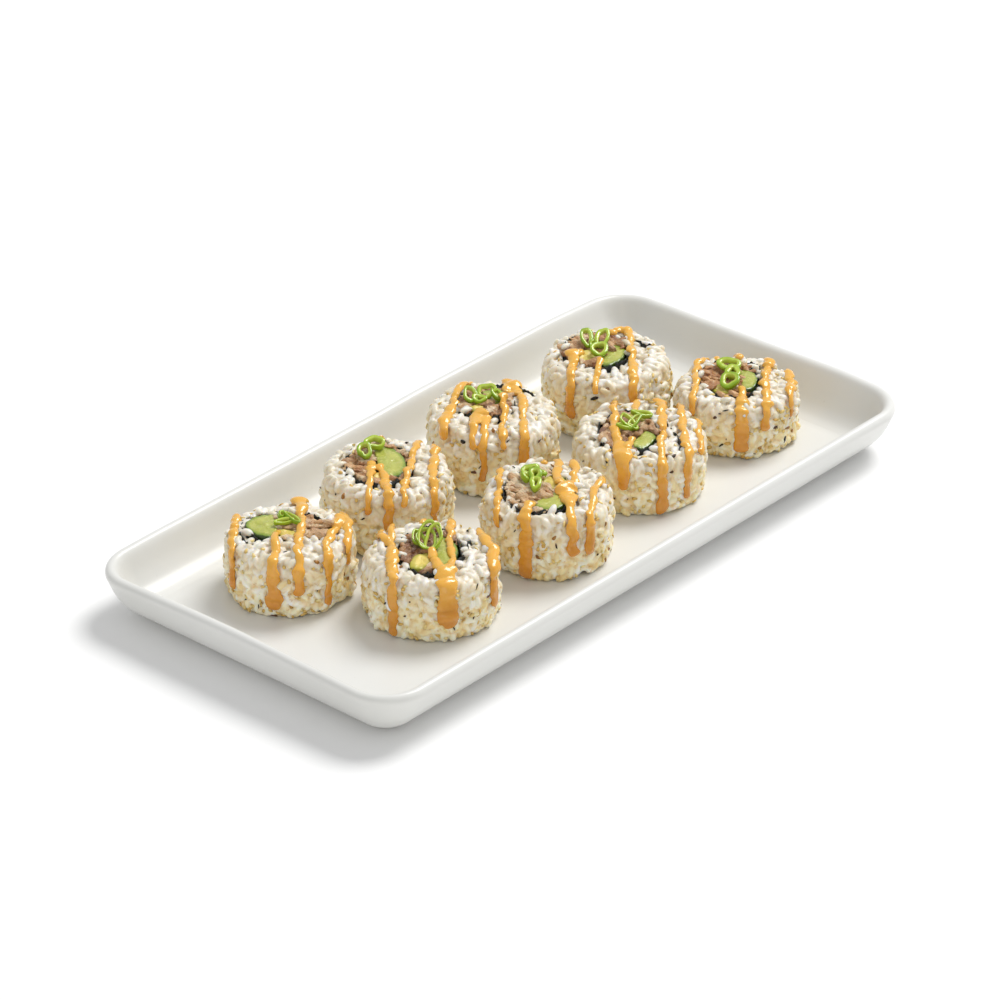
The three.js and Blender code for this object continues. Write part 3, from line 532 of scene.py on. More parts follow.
def cucumber_material():
    n = Nodes("cucumber_flesh_and_skin")
    skin = n.attr("skin")  # 1 on the skin
    core = n.attr("core")  # 1 in the seedy middle
    streak = n.noise(900, 3, vec=n.stretched((0.25, 0.25, 1.0)))
    flesh = n.ramp(n.noise(260, 3), [(0.3, rgb(176, 180, 78)), (0.7, rgb(200, 200, 104))])
    flesh = n.mix(n.math("MULTIPLY", streak, 0.3), flesh, rgb(164, 176, 84))
    seeds = n.ramp(n.voronoi(560), [(0.0, rgb(224, 218, 148)), (0.30, rgb(200, 200, 108)), (0.5, rgb(168, 178, 78))])
    flesh = n.mix(n.math("MULTIPLY", core, 0.75), flesh, seeds)
    rind = n.ramp(skin, [(0.0, (0, 0, 0)), (0.5, (0.35, 0.35, 0.35)), (0.8, (1, 1, 1))])
    near = n.mix(n.ramp(skin, [(0.2, (0, 0, 0)), (0.75, (1, 1, 1))]), flesh, rgb(128, 152, 46))
    dark = n.ramp(n.noise(700, 2), [(0.35, rgb(38, 58, 14)), (0.7, rgb(74, 96, 24))])
    col = n.mix(n.ramp(skin, [(0.80, (0, 0, 0)), (0.93, (1, 1, 1))]), near, dark)
    n.set(Base_Color=col, Roughness=n.mapr(n.noise(500, 2), 0.3, 0.7, 0.16, 0.32),
          Normal=n.bump(n.math("ADD", n.noise(1300, 3), n.math("MULTIPLY", n.voronoi(560), n.math("MULTIPLY", core, 1.2))), 0.35, 0.0004))
    b = n.bsdf.inputs
    b["Subsurface Weight"].default_value = 0.3
    b["Subsurface Radius"].default_value = (0.7, 1.0, 0.35)
    b["Subsurface Scale"].default_value = 0.0018
    b["Coat Weight"].default_value = 0.3
    b["Coat Roughness"].default_value = 0.12
    return n.done()


def avocado_material():
    n = Nodes("avocado_flesh")
    edge = n.attr("edge")
    col = n.ramp(n.noise(240, 3), [(0.3, rgb(220, 196, 96)), (0.7, rgb(236, 216, 124))])
    col = n.mix(n.ramp(edge, [(0.45, (0, 0, 0)), (1.0, (1, 1, 1))]), col, rgb(176, 176, 62))
    n.set(Base_Color=col, Roughness=n.mapr(n.noise(400, 3), 0.3, 0.7, 0.3, 0.5), Normal=n.bump(n.noise(900, 4), 0.45, 0.0004))
    b = n.bsdf.inputs
    b["Subsurface Weight"].default_value = 0.25
    b["Subsurface Radius"].default_value = (1.0, 0.8, 0.3)
    b["Subsurface Scale"].default_value = 0.0012
    return n.done()


def fish_material():
    n = Nodes("cooked_fish_flakes")
    tint = n.attr("tint")  # dark to pale, one value for each flake
    warm = n.attr("warm")  # 0 greyish brown, 1 salmon
    cool = n.ramp(tint, [(0.0, rgb(70, 44, 36)), (0.25, rgb(126, 88, 64)), (0.55, rgb(188, 148, 108)), (0.8, rgb(222, 190, 146)), (1.0, rgb(240, 222, 190))])
    hot = n.ramp(tint, [(0.0, rgb(110, 62, 34)), (0.25, rgb(164, 104, 58)), (0.55, rgb(204, 146, 92)), (0.8, rgb(222, 172, 118)), (1.0, rgb(236, 206, 164))])
    col = n.mix(warm, cool, hot)
    grain = n.noise(1500, 4, vec=n.stretched((1.0, 0.3, 0.6)))
    col = n.mix(n.math("MULTIPLY", n.ramp(grain, [(0.45, (0, 0, 0)), (0.72, (1, 1, 1))]), 0.3), col, rgb(120, 78, 50))
    pale = n.ramp(n.noise(800, 3), [(0.56, (0, 0, 0)), (0.7, (1, 1, 1))])
    col = n.mix(n.math("MULTIPLY", pale, 0.35), col, rgb(228, 202, 170))
    fibre = n.noise(1000, 3, vec=n.stretched((1.0, 0.22, 0.5)))
    col = n.mix(n.math("MULTIPLY", n.ramp(fibre, [(0.35, (1, 1, 1)), (0.55, (0, 0, 0))]), 0.35), col, rgb(142, 98, 68))
    # painted shade: flake surfaces lying below the top of the filling are mixed towards dark brown
    col = n.mix(n.math("MULTIPLY", n.attr("gap"), 0.62), col, rgb(96, 58, 40))
    n.set(Base_Color=col, Roughness=n.mapr(n.noise(600, 3), 0.3, 0.7, 0.28, 0.52), Normal=n.bump(n.math("ADD", n.math("ADD", grain, fibre), n.noise(2200, 3)), 0.8, 0.0006))
    b = n.bsdf.inputs
    b["Subsurface Weight"].default_value = 0.25
    b["Subsurface Radius"].default_value = (1.0, 0.6, 0.35)
    b["Subsurface Scale"].default_value = 0.0012
    b["Coat Weight"].default_value = 0.15
    b["Coat Roughness"].default_value = 0.2
    return n.done()


def onion_material():
    n = Nodes("spring_onion_leaf")
    inner = n.attr("inner")  # 0 outside, 1 inside the ring
    tint = n.attr("tint")
    fibre = n.noise(700, 3, vec=n.stretched((1.0, 1.0, 0.25)))
    col = n.ramp(tint, [(0.0, rgb(116, 156, 14)), (0.5, rgb(152, 184, 28)), (1.0, rgb(196, 214, 66))])
    col = n.mix(n.math("MULTIPLY", fibre, 0.4), col, rgb(122, 160, 14))
    col = n.mix(n.ramp(inner, [(0.25, (0, 0, 0)), (1.0, (1, 1, 1))]), col, rgb(200, 212, 92))
    n.set(Base_Color=col, Roughness=n.mapr(n.noise(500, 2), 0.3, 0.7, 0.14, 0.28), Normal=n.bump(fibre, 0.3, 0.0003))
    b = n.bsdf.inputs
    b["Subsurface Weight"].default_value = 0.25
    b["Subsurface Radius"].default_value = (0.4, 1.0, 0.15)
    b["Subsurface Scale"].default_value = 0.0010
    b["Coat Weight"].default_value = 0.25
    b["Coat Roughness"].default_value = 0.12
    return n.done()


def sauce_material():
    n = Nodes("spicy_mayonnaise")
    painted_shade_down_side = n.attr("painted_shade_down_side")  # 0 on top, 1 low on the side
    # painted light and shade: the sauce is lighter on top, where the light falls, and a deeper orange down the side,
    # where it hangs in shade
    col = n.ramp(painted_shade_down_side, [(0.0, rgb(236, 180, 72)), (0.3, rgb(229, 164, 48)), (0.6, rgb(215, 145, 28)), (1.0, rgb(206, 132, 20))])
    col = n.mix(n.math("MULTIPLY", n.ramp(n.noise(330, 3), [(0.4, (0, 0, 0)), (0.7, (1, 1, 1))]), 0.3), col, rgb(240, 178, 70))
    dots = n.ramp(n.voronoi(700, rand=1.0), [(0.0, (1, 1, 1)), (0.10, (1, 1, 1)), (0.16, (0, 0, 0))])
    col = n.mix(n.math("MULTIPLY", dots, 0.3), col, rgb(196, 112, 30))
    n.set(Base_Color=col, Roughness=n.mapr(n.noise(300, 3), 0.3, 0.7, 0.12, 0.22), Normal=n.bump(n.noise(520, 3), 0.3, 0.0005))
    b = n.bsdf.inputs
    b["Subsurface Weight"].default_value = 0.35
    b["Subsurface Radius"].default_value = (1.0, 0.7, 0.3)
    b["Subsurface Scale"].default_value = 0.0012
    b["Coat Weight"].default_value = 0.45
    b["Coat Roughness"].default_value = 0.13
    return n.done()


def sesame_material():
    n = Nodes("toasted_sesame")
    tint = n.attr("tint")
    col = n.ramp(tint, [(0.0, rgb(120, 76, 34)), (0.03, rgb(164, 112, 52)), (0.06, rgb(216, 174, 92)), (0.5, rgb(238, 206, 124)), (1.0, rgb(249, 232, 170))])
    edge = n.ramp(n.noise(1500, 3), [(0.4, (0, 0, 0)), (0.75, (1, 1, 1))])
    col = n.mix(n.math("MULTIPLY", edge, 0.28), col, rgb(216, 172, 88))
    n.set(Base_Color=col, Roughness=n.mapr(n.noise(900, 2), 0.3, 0.7, 0.35, 0.5), Normal=n.bump(n.noise(2500, 3), 0.4, 0.0002))
    b = n.bsdf.inputs
    b["Subsurface Weight"].default_value = 0.15
    b["Subsurface Radius"].default_value = (1.0, 0.7, 0.35)
    b["Subsurface Scale"].default_value = 0.0006
    return n.done()


def fleck_material():
    n = Nodes("dark_nori_flecks")
    tint = n.attr("tint")
    col = n.ramp(tint, [(0.0, rgb(16, 16, 14)), (0.6, rgb(40, 32, 24)), (1.0, rgb(112, 66, 34))])
    col = n.mix(n.math("MULTIPLY", n.noise(1800, 2), 0.4), col, rgb(60, 44, 30))
    n.set(Base_Color=col, Roughness=n.mapr(n.noise(900, 2), 0.3, 0.7, 0.35, 0.55), Normal=n.bump(n.noise(2500, 3), 0.5, 0.0002))
    return n.done()


MAT = dict(porcelain=porcelain_material(), foot=foot_material(), rice=rice_material(), nori=nori_material(), cucumber=cucumber_material(),
           avocado=avocado_material(), fish=fish_material(), onion=onion_material(), sauce=sauce_material(), sesame=sesame_material(), fleck=fleck_material())


def finish_piece(obj, mat, slot, *nodes):
    obj.data.materials.clear()
    obj.data.materials.append(MAT[mat])
    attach(obj, "root")
    if nodes:
        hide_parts(*nodes)
    return obj


# ---------------------------------------------------------------- plate
HALF_L, HALF_B, CORNER_R = 150.0, 74.6, 18.0
SECTION = [(26.5, 1.1, 0), (24.5, 0, 0), (17.4, 0, 0), (12.8, 1.2, 0), (7.8, 4.5, 0.1), (4.2, 9.1, 0.45), (2.1, 13.6, 0.8), (1.3, 16.3, 0.95),
           (0, 18.3, 1), (0.6, 20.3, 1), (2.6, 21.2, 1), (4.6, 20.1, 1), (6.2, 16.6, 0.85), (8.3, 12.2, 0.5), (11, 8.6, 0.2), (14.6, 6.3, 0), (19, 5.2, 0)]
RIM = [(1, -1, -0.4), (1, -0.53, 1.1), (1, 0, 0.4), (1, 0.53, 0), (1, 1, -0.7), (0.67, 1, 1), (0.2, 1, 1), (0, 1, 0.3), (-0.4, 1, -0.1),
       (-0.73, 1, -0.25), (-1, 1, -0.9), (-1, 0, 1), (-1, -1, 0), (-0.33, -1, 0), (0.33, -1, 0)]
ROUND = 4 * (HALF_L + HALF_B)


def round_to(x, y):
    d = [HALF_L - x, HALF_B - y, HALF_L + x, HALF_B + y]
    k = d.index(min(d))
    s = [y + HALF_B, 2 * HALF_B + HALF_L - x, 2 * HALF_B + 2 * HALF_L + HALF_B - y, 4 * HALF_B + 2 * HALF_L + HALF_L + x][k]
    return s % ROUND


STATIONS = sorted((round_to(p * HALF_L, q * HALF_B), dz) for p, q, dz in RIM)


def rim_wave(x, y):
    s, n = round_to(x, y), len(STATIONS)
    i = next((k for k, p in enumerate(STATIONS) if p[0] > s), n)
    p, q = STATIONS[(i - 1) % n], STATIONS[i % n]
    a = p[0] - ROUND if i == 0 else p[0]
    b = q[0] + ROUND if i == n else q[0]
    t = (s - a) / (b - a)
    e = t * t * (3 - 2 * t)
    return p[1] * (1 - e) + q[1] * e


def rounded_rect(a, b, r, nc=14, nl=40, ns=20):
    pts = []
    corners = [(a - r, b - r), (r - a, b - r), (r - a, r - b), (a - r, r - b)]
    for k in range(4):
        for i in range(nc + 1):
            t = math.pi / 2 * (k + i / nc)
            pts.append((corners[k][0] + r * math.cos(t), corners[k][1] + r * math.sin(t)))
        p = pts[-1]
        t = math.pi / 2 * (k + 1)
        c = corners[(k + 1) % 4]
        q = (c[0] + r * math.cos(t), c[1] + r * math.sin(t))
        n = ns if k % 2 else nl
        pts += [(p[0] + (q[0] - p[0]) * i / n, p[1] + (q[1] - p[1]) * i / n) for i in range(1, n)]
    return np.array(pts)


def plate():
    sec = []
    keep = SECTION[:3]
    raw = np.array(SECTION[2:], float)
    seg = np.linalg.norm(np.diff(raw[:, :2], axis=0), axis=1)
    cum = np.concatenate([[0], np.cumsum(seg)])
    t = np.linspace(0, cum[-1], 110)
    curve = np.column_stack([np.interp(t, cum, raw[:, k]) for k in range(3)])
    for _ in range(14):
        curve[1:-1] = 0.5 * curve[1:-1] + 0.25 * (curve[:-2] + curve[2:])
    curve[:, 0] -= curve[:, 0].min() * np.clip((19 - curve[:, 0]) / 19, 0, 1)
    rise = 21.2 - curve[:, 1].max()
    curve[:, 1] += rise * np.clip((curve[:, 1] - 14) / 7, 0, 1)
    sec = [tuple(k) for k in keep[:2]] + [(23.8, 0.0, 0), (18.2, 0.0, 0)] + [tuple(c) for c in curve]
    inner = [(22.0, 5.2, 0), (30.0, 5.2, 0), (45.0, 5.2, 0), (60.0, 5.2, 0), (70.0, 5.2, 0)]
    under = [(70.0, 1.1, 0), (50.0, 1.1, 0), (30.0, 1.1, 0)]
    sec = under + sec + inner
    outer = rounded_rect(HALF_L, HALF_B, CORNER_R)
    wave = np.array([rim_wave(x, y) for x, y in outer])
    ease = wobble(71, 60, 2)
    rings = []
    for s, z, w in sec:
        r = rounded_rect(HALF_L - s, HALF_B - s, max(CORNER_R - s, 4.0 if s < 40 else 2.0))
        zz = z + w * wave
        rings.append(np.column_stack([r, zz]))
    cols = len(outer)
    v = np.vstack(rings)
    faces = grid_faces(len(rings), cols)
    # close the two flat middles with a fan of triangles to a middle point
    tris = []

    def cap(k, flip):
        ring = np.arange(cols) + k * cols
        c = len(v_list[0])
        centre = v_list[0][ring].mean(0)
        v_list[0] = np.vstack([v_list[0], centre])
        for i in range(cols):
            j = (i + 1) % cols
            tris.append((ring[j], ring[i], c) if flip else (ring[i], ring[j], c))

    v_list = [v]
    cap(0, True)
    cap(len(rings) - 1, False)
    o = build("plate_body", v_list[0], quads=faces, tris=tris)
    finish_piece(o, "porcelain", "porcelain", "plate")
    # the unglazed foot ring
    o.data.materials.append(MAT["foot"])
    z = np.array([p.center.z for p in o.data.polygons])
    nz = np.array([p.normal.z for p in o.data.polygons])
    idx = ((z < 0.0002) & (nz < -0.9)).astype(np.int32)
    o.data.polygons.foreach_set("material_index", idx)
    return o


plate_obj = plate()


# ---------------------------------------------------------------- nori path
def oval_point(nori, deg, d=0.0):
    cu, cv, a, b, rot = nori[:5]
    t = np.radians(deg)
    c, s = np.cos(t), np.sin(t)
    nl = np.hypot(b * c, a * s)
    u = a * c + d * b * c / nl
    v = b * s + d * a * s / nl
    cr, sr = math.cos(math.radians(rot)), math.sin(math.radians(rot))
    return np.stack([cu + u * cr - v * sr, cv + u * sr + v * cr], -1)


def nori_path(nori, seed):
    f, t, out = nori[5:8]
    sign = 1 if t > f else -1
    turn = np.linspace(f - sign * 357, f, 190)
    tail = np.linspace(f, t, 60)[1:]
    k = (tail - f) / (t - f)
    p = np.vstack([oval_point(nori, turn), oval_point(nori, tail, out * k**1.4)])
    w = wobble(seed * 7 + 1, 5.0, 3)
    w2 = wobble(seed * 7 + 2, 5.0, 3)
    q = np.column_stack([p, np.zeros(len(p))])
    return p + 0.32 * np.column_stack([w(q), w2(q)])


def strip(path, z0, z1, thick, seed, rows=5):
    """An upright thin sheet along a path, with a torn top edge."""
    d = np.gradient(path, axis=0)
    d /= np.linalg.norm(d, axis=1, keepdims=True)
    nrm = np.column_stack([-d[:, 1], d[:, 0]])
    q = np.column_stack([path, np.zeros(len(path))])
    torn = wobble(seed, 2.2, 3)(q)
    long = wobble(seed + 1, 9.0, 2)(q)
    th = thick * (1 + 0.35 * wobble(seed + 2, 3.0, 2)(q))
    top = z1 + 0.6 * torn + 0.5 * long
    section = [(1, 0.0), (1, 0.5), (1, 0.93), (0.55, 1.0), (-0.55, 1.0), (-1, 0.93), (-1, 0.5), (-1, 0.0)]
    rings = []
    for side, share in section:
        lean = 0.25 * long * share
        p = path + nrm * (side * th / 2 + lean)[:, None]
        rings.append(np.column_stack([p, z0 + (top - z0) * share]))
    v = np.stack(rings, 1)  # along, around
    n, m = len(path), len(section)
    faces = grid_faces(n, m, close_rows=False, close_cols=True)
    v = v.reshape(-1, 3)
    ends = [list(range(m))[::-1], [(n - 1) * m + i for i in range(m)]]
    tris = []
    for e in ends:
        for i in range(1, m - 1):
            tris.append((e[0], e[i], e[i + 1]))
    return v, faces, np.array(tris)


# ---------------------------------------------------------------- rice
GRAIN = ball(9, 7)
PROFILE = [(1.6, 0.0), (0.5, 0.08), (0.0, 0.30), (0.0, 0.55), (0.35, 0.76), (1.4, 0.90), (3.0, 0.975), (5.0, 1.0)]


def side_profile(roll):
    p = catmull([(roll["r"] - i, roll["h"] * s, 0) for i, s in PROFILE], 0.5)
    return p[:, :2]


def tail_points(nori):
    f, t, out = nori[5:8]
    tail = np.linspace(f, t, 40)
    k = (tail - f) / (t - f)
    return oval_point(nori, tail, out * k**1.4)


def rice(i, roll):
    g = np.random.default_rng(1000 + roll["seed"])
    r, h, nori = roll["r"], roll["h"], roll["nori"]
    prof = side_profile(roll)
    lump = wobble(roll["seed"] * 3 + 5, 11.0, 2)
    small = wobble(roll["seed"] * 3 + 6, 4.5, 2)

    def raised(p, n, inset):
        """Moves skin points along their normals by the roll's lumps, less an inset."""
        k = 0.75 * lump(p) + 0.3 * small(p)
        return p + n * (np.clip(k, -1.1, 0.75) - inset)[:, None]

    # core: rings by direction from the oval's centre, so that they meet the sheet of nori
    cols = 132
    th = np.linspace(0, 2 * math.pi, cols, endpoint=False)
    oval = oval_point(nori, np.degrees(th), NORI_T / 2 + 0.1)
    c0 = np.array(nori[:2])
    d = oval - c0
    dist = np.linalg.norm(d, axis=1)
    d /= dist[:, None]

    def on_circle(rad):
        b = d @ c0
        t = -b + np.sqrt(np.maximum(b * b - (c0 @ c0 - rad * rad), 0))
        return c0 + d * t[:, None]

    rings, normals = [], []
    pr = prof
    tang = np.gradient(pr, axis=0)
    tang /= np.linalg.norm(tang, axis=1, keepdims=True)
    for (rad, z), (tr, tz) in zip(pr, tang):
        xy = on_circle(rad)
        e = xy / np.linalg.norm(xy, axis=1, keepdims=True)
        rings.append(np.column_stack([xy, np.full(cols, z)]))
        normals.append(np.column_stack([e * tz, np.full(cols, -tr)]))
    last = rings[-1][:, :2]
    for t in np.linspace(0.12, 1.0, 9):
        xy = last * (1 - t) + oval * t
        dip = -0.5 * t**3
        rings.append(np.column_stack([xy, np.full(cols, h + dip)]))
        normals.append(np.tile([0, 0, 1.0], (cols, 1)))
    P, N = np.vstack(rings), np.vstack(normals)
    core = raised(P, N, 0.0) - N * (1.0 + 0.30 * np.clip((P[:, 2] - h * 0.72) / (h * 0.28), 0, 1))[:, None]
    core = core.reshape(len(rings), cols, 3)
    core[-1, :, :2] = oval
    core[0, :, 2] = np.maximum(core[0, :, 2], 0.06)
    core[:, :, 2] = np.maximum(core[:, :, 2], 0.06)
    wall = [np.column_stack([oval, np.full(cols, z)]) for z in (h * 0.6, 0.06)]
    allr = list(core) + wall
    cv = np.vstack(allr)
    cf = grid_faces(len(allr), cols, close_rows=True)

    # grains: darts over the side, shoulder and top
    seg = np.linalg.norm(np.diff(prof, axis=0), axis=1)
    cum = np.concatenate([[0], np.cumsum(seg)])
    side_len = cum[-1]
    want = []
    tries = 24000
    s = g.uniform(0, side_len, tries)
    a = g.uniform(0, 2 * math.pi, tries)
    rad = np.interp(s, cum, prof[:, 0])
    z = np.interp(s, cum, prof[:, 1])
    tr = np.interp(s, cum, tang[:, 0])
    tz = np.interp(s, cum, tang[:, 1])
    keep = g.uniform(size=tries) < rad / r
    p1 = np.column_stack([rad * np.cos(a), rad * np.sin(a), z])[keep]
    n1 = np.column_stack([tz * np.cos(a), tz * np.sin(a), -tr])[keep]
    uv = g.uniform(-r, r, (9000, 2))
    uv = uv[np.hypot(uv[:, 0], uv[:, 1]) < r - 5.0]
    p2 = np.column_stack([uv, np.full(len(uv), h)])
    n2 = np.tile([0, 0, 1.0], (len(uv), 1))
    p, n = np.vstack([p1, p2]), np.vstack([n1, n2])
    order = g.permutation(len(p))
    p, n = p[order], n[order]
    # stay off the filling and the sheet's free end
    cr, sr = math.cos(math.radians(nori[4])), math.sin(math.radians(nori[4]))
    q = p[:, :2] - c0
    qa, qb = q[:, 0] * cr + q[:, 1] * sr, -q[:, 0] * sr + q[:, 1] * cr
    margin = 1.35
    inside = (qa / (nori[2] + margin)) ** 2 + (qb / (nori[3] + margin)) ** 2 < 1
    high = p[:, 2] > h - 4
    tail = tail_points(nori)
    near_tail = np.min(np.linalg.norm(p[:, None, :2] - tail[None, :, :], axis=2), axis=1) < 0.95
    well_in = (qa / (nori[2] - 1.1)) ** 2 + (qb / (nori[3] - 1.1)) ** 2 < 1
    over = high & inside & ~well_in & (wobble(roll["seed"] * 3 + 9, 8.0, 2)(p) > COVER[i - 1])
    ok = ~(high & (inside | near_tail)) | over
    p, n, over = p[ok], n[ok], over[ok]
    # whole grains first, then others half hidden between them
    angle = g.uniform(0, math.pi, len(p))
    axis = frames_for(n, angle)[:, :, 0]
    half = len(p) // 2
    first = packed(p[:half], axis[:half], 4.3, 2.35, (np.zeros((0, 3)), np.zeros((0, 3))))
    second = half + packed(p[half:], axis[half:], 2.9, 1.75, (p[first], axis[first]))
    under = np.concatenate([np.zeros(len(first)), np.ones(len(second))])
    chosen = np.concatenate([first, second])
    p, n, over, angle = p[chosen], n[chosen], over[chosen], angle[chosen]
    m = len(p)
    mashed = np.clip(0.5 + 0.9 * wobble(roll["seed"] * 3 + 8, 9.0, 2)(p), 0, 1) * np.clip((h - 2.0 - p[:, 2]) / 4.0, 0, 1)
    depth = g.uniform(0.60, 1.02, m) + 0.16 * mashed + 0.40 * under
    # a few grains sit up on the top edge
    proud = (p[:, 2] > h * 0.86) & (g.uniform(size=m) < 0.30)
    depth[proud] -= g.uniform(0.2, 0.75, proud.sum())
    depth[over] = g.uniform(-0.45, 0.3, over.sum())
    centres = raised(p, n, 0.0) - n * depth[:, None]
    L = g.uniform(2.5, 3.2, m)
    W = g.uniform(1.28, 1.55, m)
    T = g.uniform(1.15, 1.38, m)
    tilt = g.normal(0, 0.13, m) + np.where(proud, g.normal(0, 0.25, m), 0)
    F = frames_for(n, angle, tilt)
    # grain centres stay at least 1.3 mm above the plate's floor
    centres[:, 2] = np.maximum(centres[:, 2], 1.3)
    gv, gf = scatter(centres, F, np.column_stack([L, W, T]), bend=g.normal(0, 0.035, m), template=GRAIN)
    gv += 0.05 * wobble(roll["seed"] + 400, 1.6, 1)(gv)[:, None]
    gv[:, 2] = np.maximum(gv[:, 2], 0.05)
    per = len(GRAIN[0])
    allv = np.vstack([cv, gv])
    o = build(f"rice_grains_{i}", place(roll, allv), quads=cf, tris=gf + len(cv))
    remeshed(o, 0.33, 1)
    thinned(o, 69000)
    co = points_of(o)
    away = co / MM - np.array([roll["x"], roll["y"], FLOOR_Z])
    local = np.column_stack([away @ U_DIR, away @ V_DIR, away[:, 2]])
    bulge = np.clip(0.75 * lump(local) + 0.3 * small(local), -1.1, 0.75)
    reach = np.hypot(local[:, 0], local[:, 1])
    rim = np.interp(np.clip(local[:, 2], 0, h * 0.76), prof[:, 1], prof[:, 0])
    outward = np.maximum(reach - rim, local[:, 2] - h) - bulge
    # low: how far down the outer side a point lies; it weights the side colour, which partly paints bounce light, and
    # the painted gap shade
    low = np.clip((0.97 - local[:, 2] / h) / 0.55, 0, 1) ** 0.8 * np.clip((reach / r - 0.7) / 0.2, 0, 1)
    marks = np.vstack([place(roll, gv[::3]), place(roll, cv[::2])]) * MM
    # the core shows only in the gaps between grains; its lower tint is a little painted shade there
    tint = np.concatenate([np.repeat(g.beta(1.7, 1.3, m), per)[::3], np.full(len(cv[::2]), 0.30)])
    add_value(o, "tint", carried(co, marks, tint))
    add_value(o, "low", low)
    # crest: 1 on the outermost grains, 0 in the gaps; the material paints shade into the gaps from it
    add_value(o, "crest", np.clip((outward + 1.0) / 1.1, 0, 1))
    finish_piece(o, "rice", "rice", f"rice_{i}")
    return o, m


# ---------------------------------------------------------------- pieces read from the CAD solids
def cad_top_outline(name):
    """The outline of a CAD node's flat top, in the row frame in millimetres, counter-clockwise, and its height."""
    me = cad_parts[name].data
    co = np.array([v.co for v in me.vertices]) / MM
    zmax = co[:, 2].max()
    merged, ids = {}, []
    for c in co:
        key = (round(c[0], 2), round(c[1], 2), round(c[2], 2))
        ids.append(merged.setdefault(key, len(merged)))
    pts = np.array(list(merged.keys()))
    edges = {}
    for p in me.polygons:
        vs = [ids[k] for k in p.vertices]
        if min(pts[k][2] for k in vs) > zmax - 0.02:
            for a, b in zip(vs, vs[1:] + vs[:1]):
                edges[(a, b)] = edges.get((a, b), 0) + 1
    border = {a: b for (a, b) in edges if (b, a) not in edges}
    start = next(iter(border))
    loop, k = [start], border[start]
    while k != start and len(loop) < len(border) + 1:
        loop.append(k)
        k = border[k]
    out = pts[loop][:, :2]
    area = 0.5 * np.sum(out[:, 0] * np.roll(out[:, 1], -1) - np.roll(out[:, 0], -1) * out[:, 1])
    return (out if area > 0 else out[::-1]), zmax


def even_loop(loop, step):
    nxt = np.roll(loop, -1, axis=0)
    seg = np.linalg.norm(nxt - loop, axis=1)
    cum = np.concatenate([[0], np.cumsum(seg)])
    n = max(12, int(cum[-1] / step))
    s = np.linspace(0, cum[-1], n, endpoint=False)
    closed = np.vstack([loop, loop[:1]])
    p = np.column_stack([np.interp(s, cum, closed[:, k]) for k in (0, 1)])
    for _ in range(3):
        p = 0.5 * p + 0.25 * (np.roll(p, 1, 0) + np.roll(p, -1, 0))
    return p


def cap_piece(name, outline, top, base, seed, rise=0.0, rough=0.12, extra=None):
    """An upright convex piece with a rounded, slightly uneven cut top. Returns points, quads, share from the middle."""
    p = even_loop(outline, 0.45)
    c = p.mean(0)
    n = len(p)
    rad = np.linalg.norm(p - c, axis=1).mean()
    bumps, fine = wobble(seed, 5.0, 2), wobble(seed + 1, 1.6, 2)
    shares = [0.04, 0.14, 0.27, 0.40, 0.53, 0.66, 0.78, 0.87, 0.94, 0.98, 1.0, 1.0, 1.0, 1.0]
    drops = [0, 0, 0, 0, 0, 0, 0, 0.02, 0.10, 0.28, 0.62, 1.6, 5.0, None]
    rings, t = [], []
    for s, d in zip(shares, drops):
        xy = c + (p - c) * s
        q = np.column_stack([xy, np.zeros(n)])
        z = base if d is None else top - d + rise * (1 - s * s) + rough * bumps(q) * 2 + rough * fine(q) * 0.6
        rings.append(np.column_stack([xy, np.full(n, base) if d is None else z]))
        t.append(np.full(n, s))
    v = np.vstack(rings)
    faces = grid_faces(len(rings), n)[:, ::-1]
    tris = []
    ci, cj = len(v), len(v) + 1
    v = np.vstack([v, [*c, top + rise], [*c, base]])
    last = (len(rings) - 1) * n
    for k in range(n):
        j = (k + 1) % n
        tris.append((ci, k, j))
        tris.append((cj, last + j, last + k))
    share = np.concatenate([*t, [0], [1]])
    return v, faces, np.array(tris), share, p, c


def cucumber(i, roll):
    name = f"cucumber_{i}"
    loop, top = cad_top_outline(name)
    v, q, t, share, p, c = cap_piece(name, loop, top, FLOOR_Z + 0.05, 300 + i, rise=0.25, rough=0.08)
    ang = math.radians(roll["cuc"]) + TURN
    cut = np.array([math.cos(ang), math.sin(ang)])
    rel = v[:, :2] - c
    away = rel / np.maximum(np.linalg.norm(rel, axis=1, keepdims=True), 1e-6)
    facing = away @ cut
    # the curved side keeps its skin; it reads as a thin dark band
    nxt = np.roll(p, -1, 0) - np.roll(p, 1, 0)
    out = np.column_stack([nxt[:, 1], -nxt[:, 0]])
    out /= np.linalg.norm(out, axis=1, keepdims=True)
    skin_side = np.clip((0.55 - out @ cut) / 0.5, 0, 1)
    rings = (len(v) - 2) // len(p)
    skin = np.concatenate([np.tile(skin_side, rings), [0, 0]]) * np.clip((share - 0.60) / 0.36, 0, 1)
    reach = (p - c) @ cut
    along = (rel @ cut)
    core = np.clip((along - reach.max() + 4.5) / 4.0, 0, 1) * (share < 0.99)
    o = build(f"cucumber_piece_{i}", v, quads=q, tris=t, values=dict(skin=skin, core=core))
    return finish_piece(o, "cucumber", "cucumber", name)


def avocado(i, roll):
    name = f"avocado_{i}"
    loop, top = cad_top_outline(name)
    v, q, t, share, p, c = cap_piece(name, loop, top, FLOOR_Z + 0.05, 340 + i, rise=0.35, rough=0.16)
    o = build(f"avocado_piece_{i}", v, quads=q, tris=t, values=dict(edge=share))
    return finish_piece(o, "avocado", "avocado", name)


FLAKE = ball(9, 7)


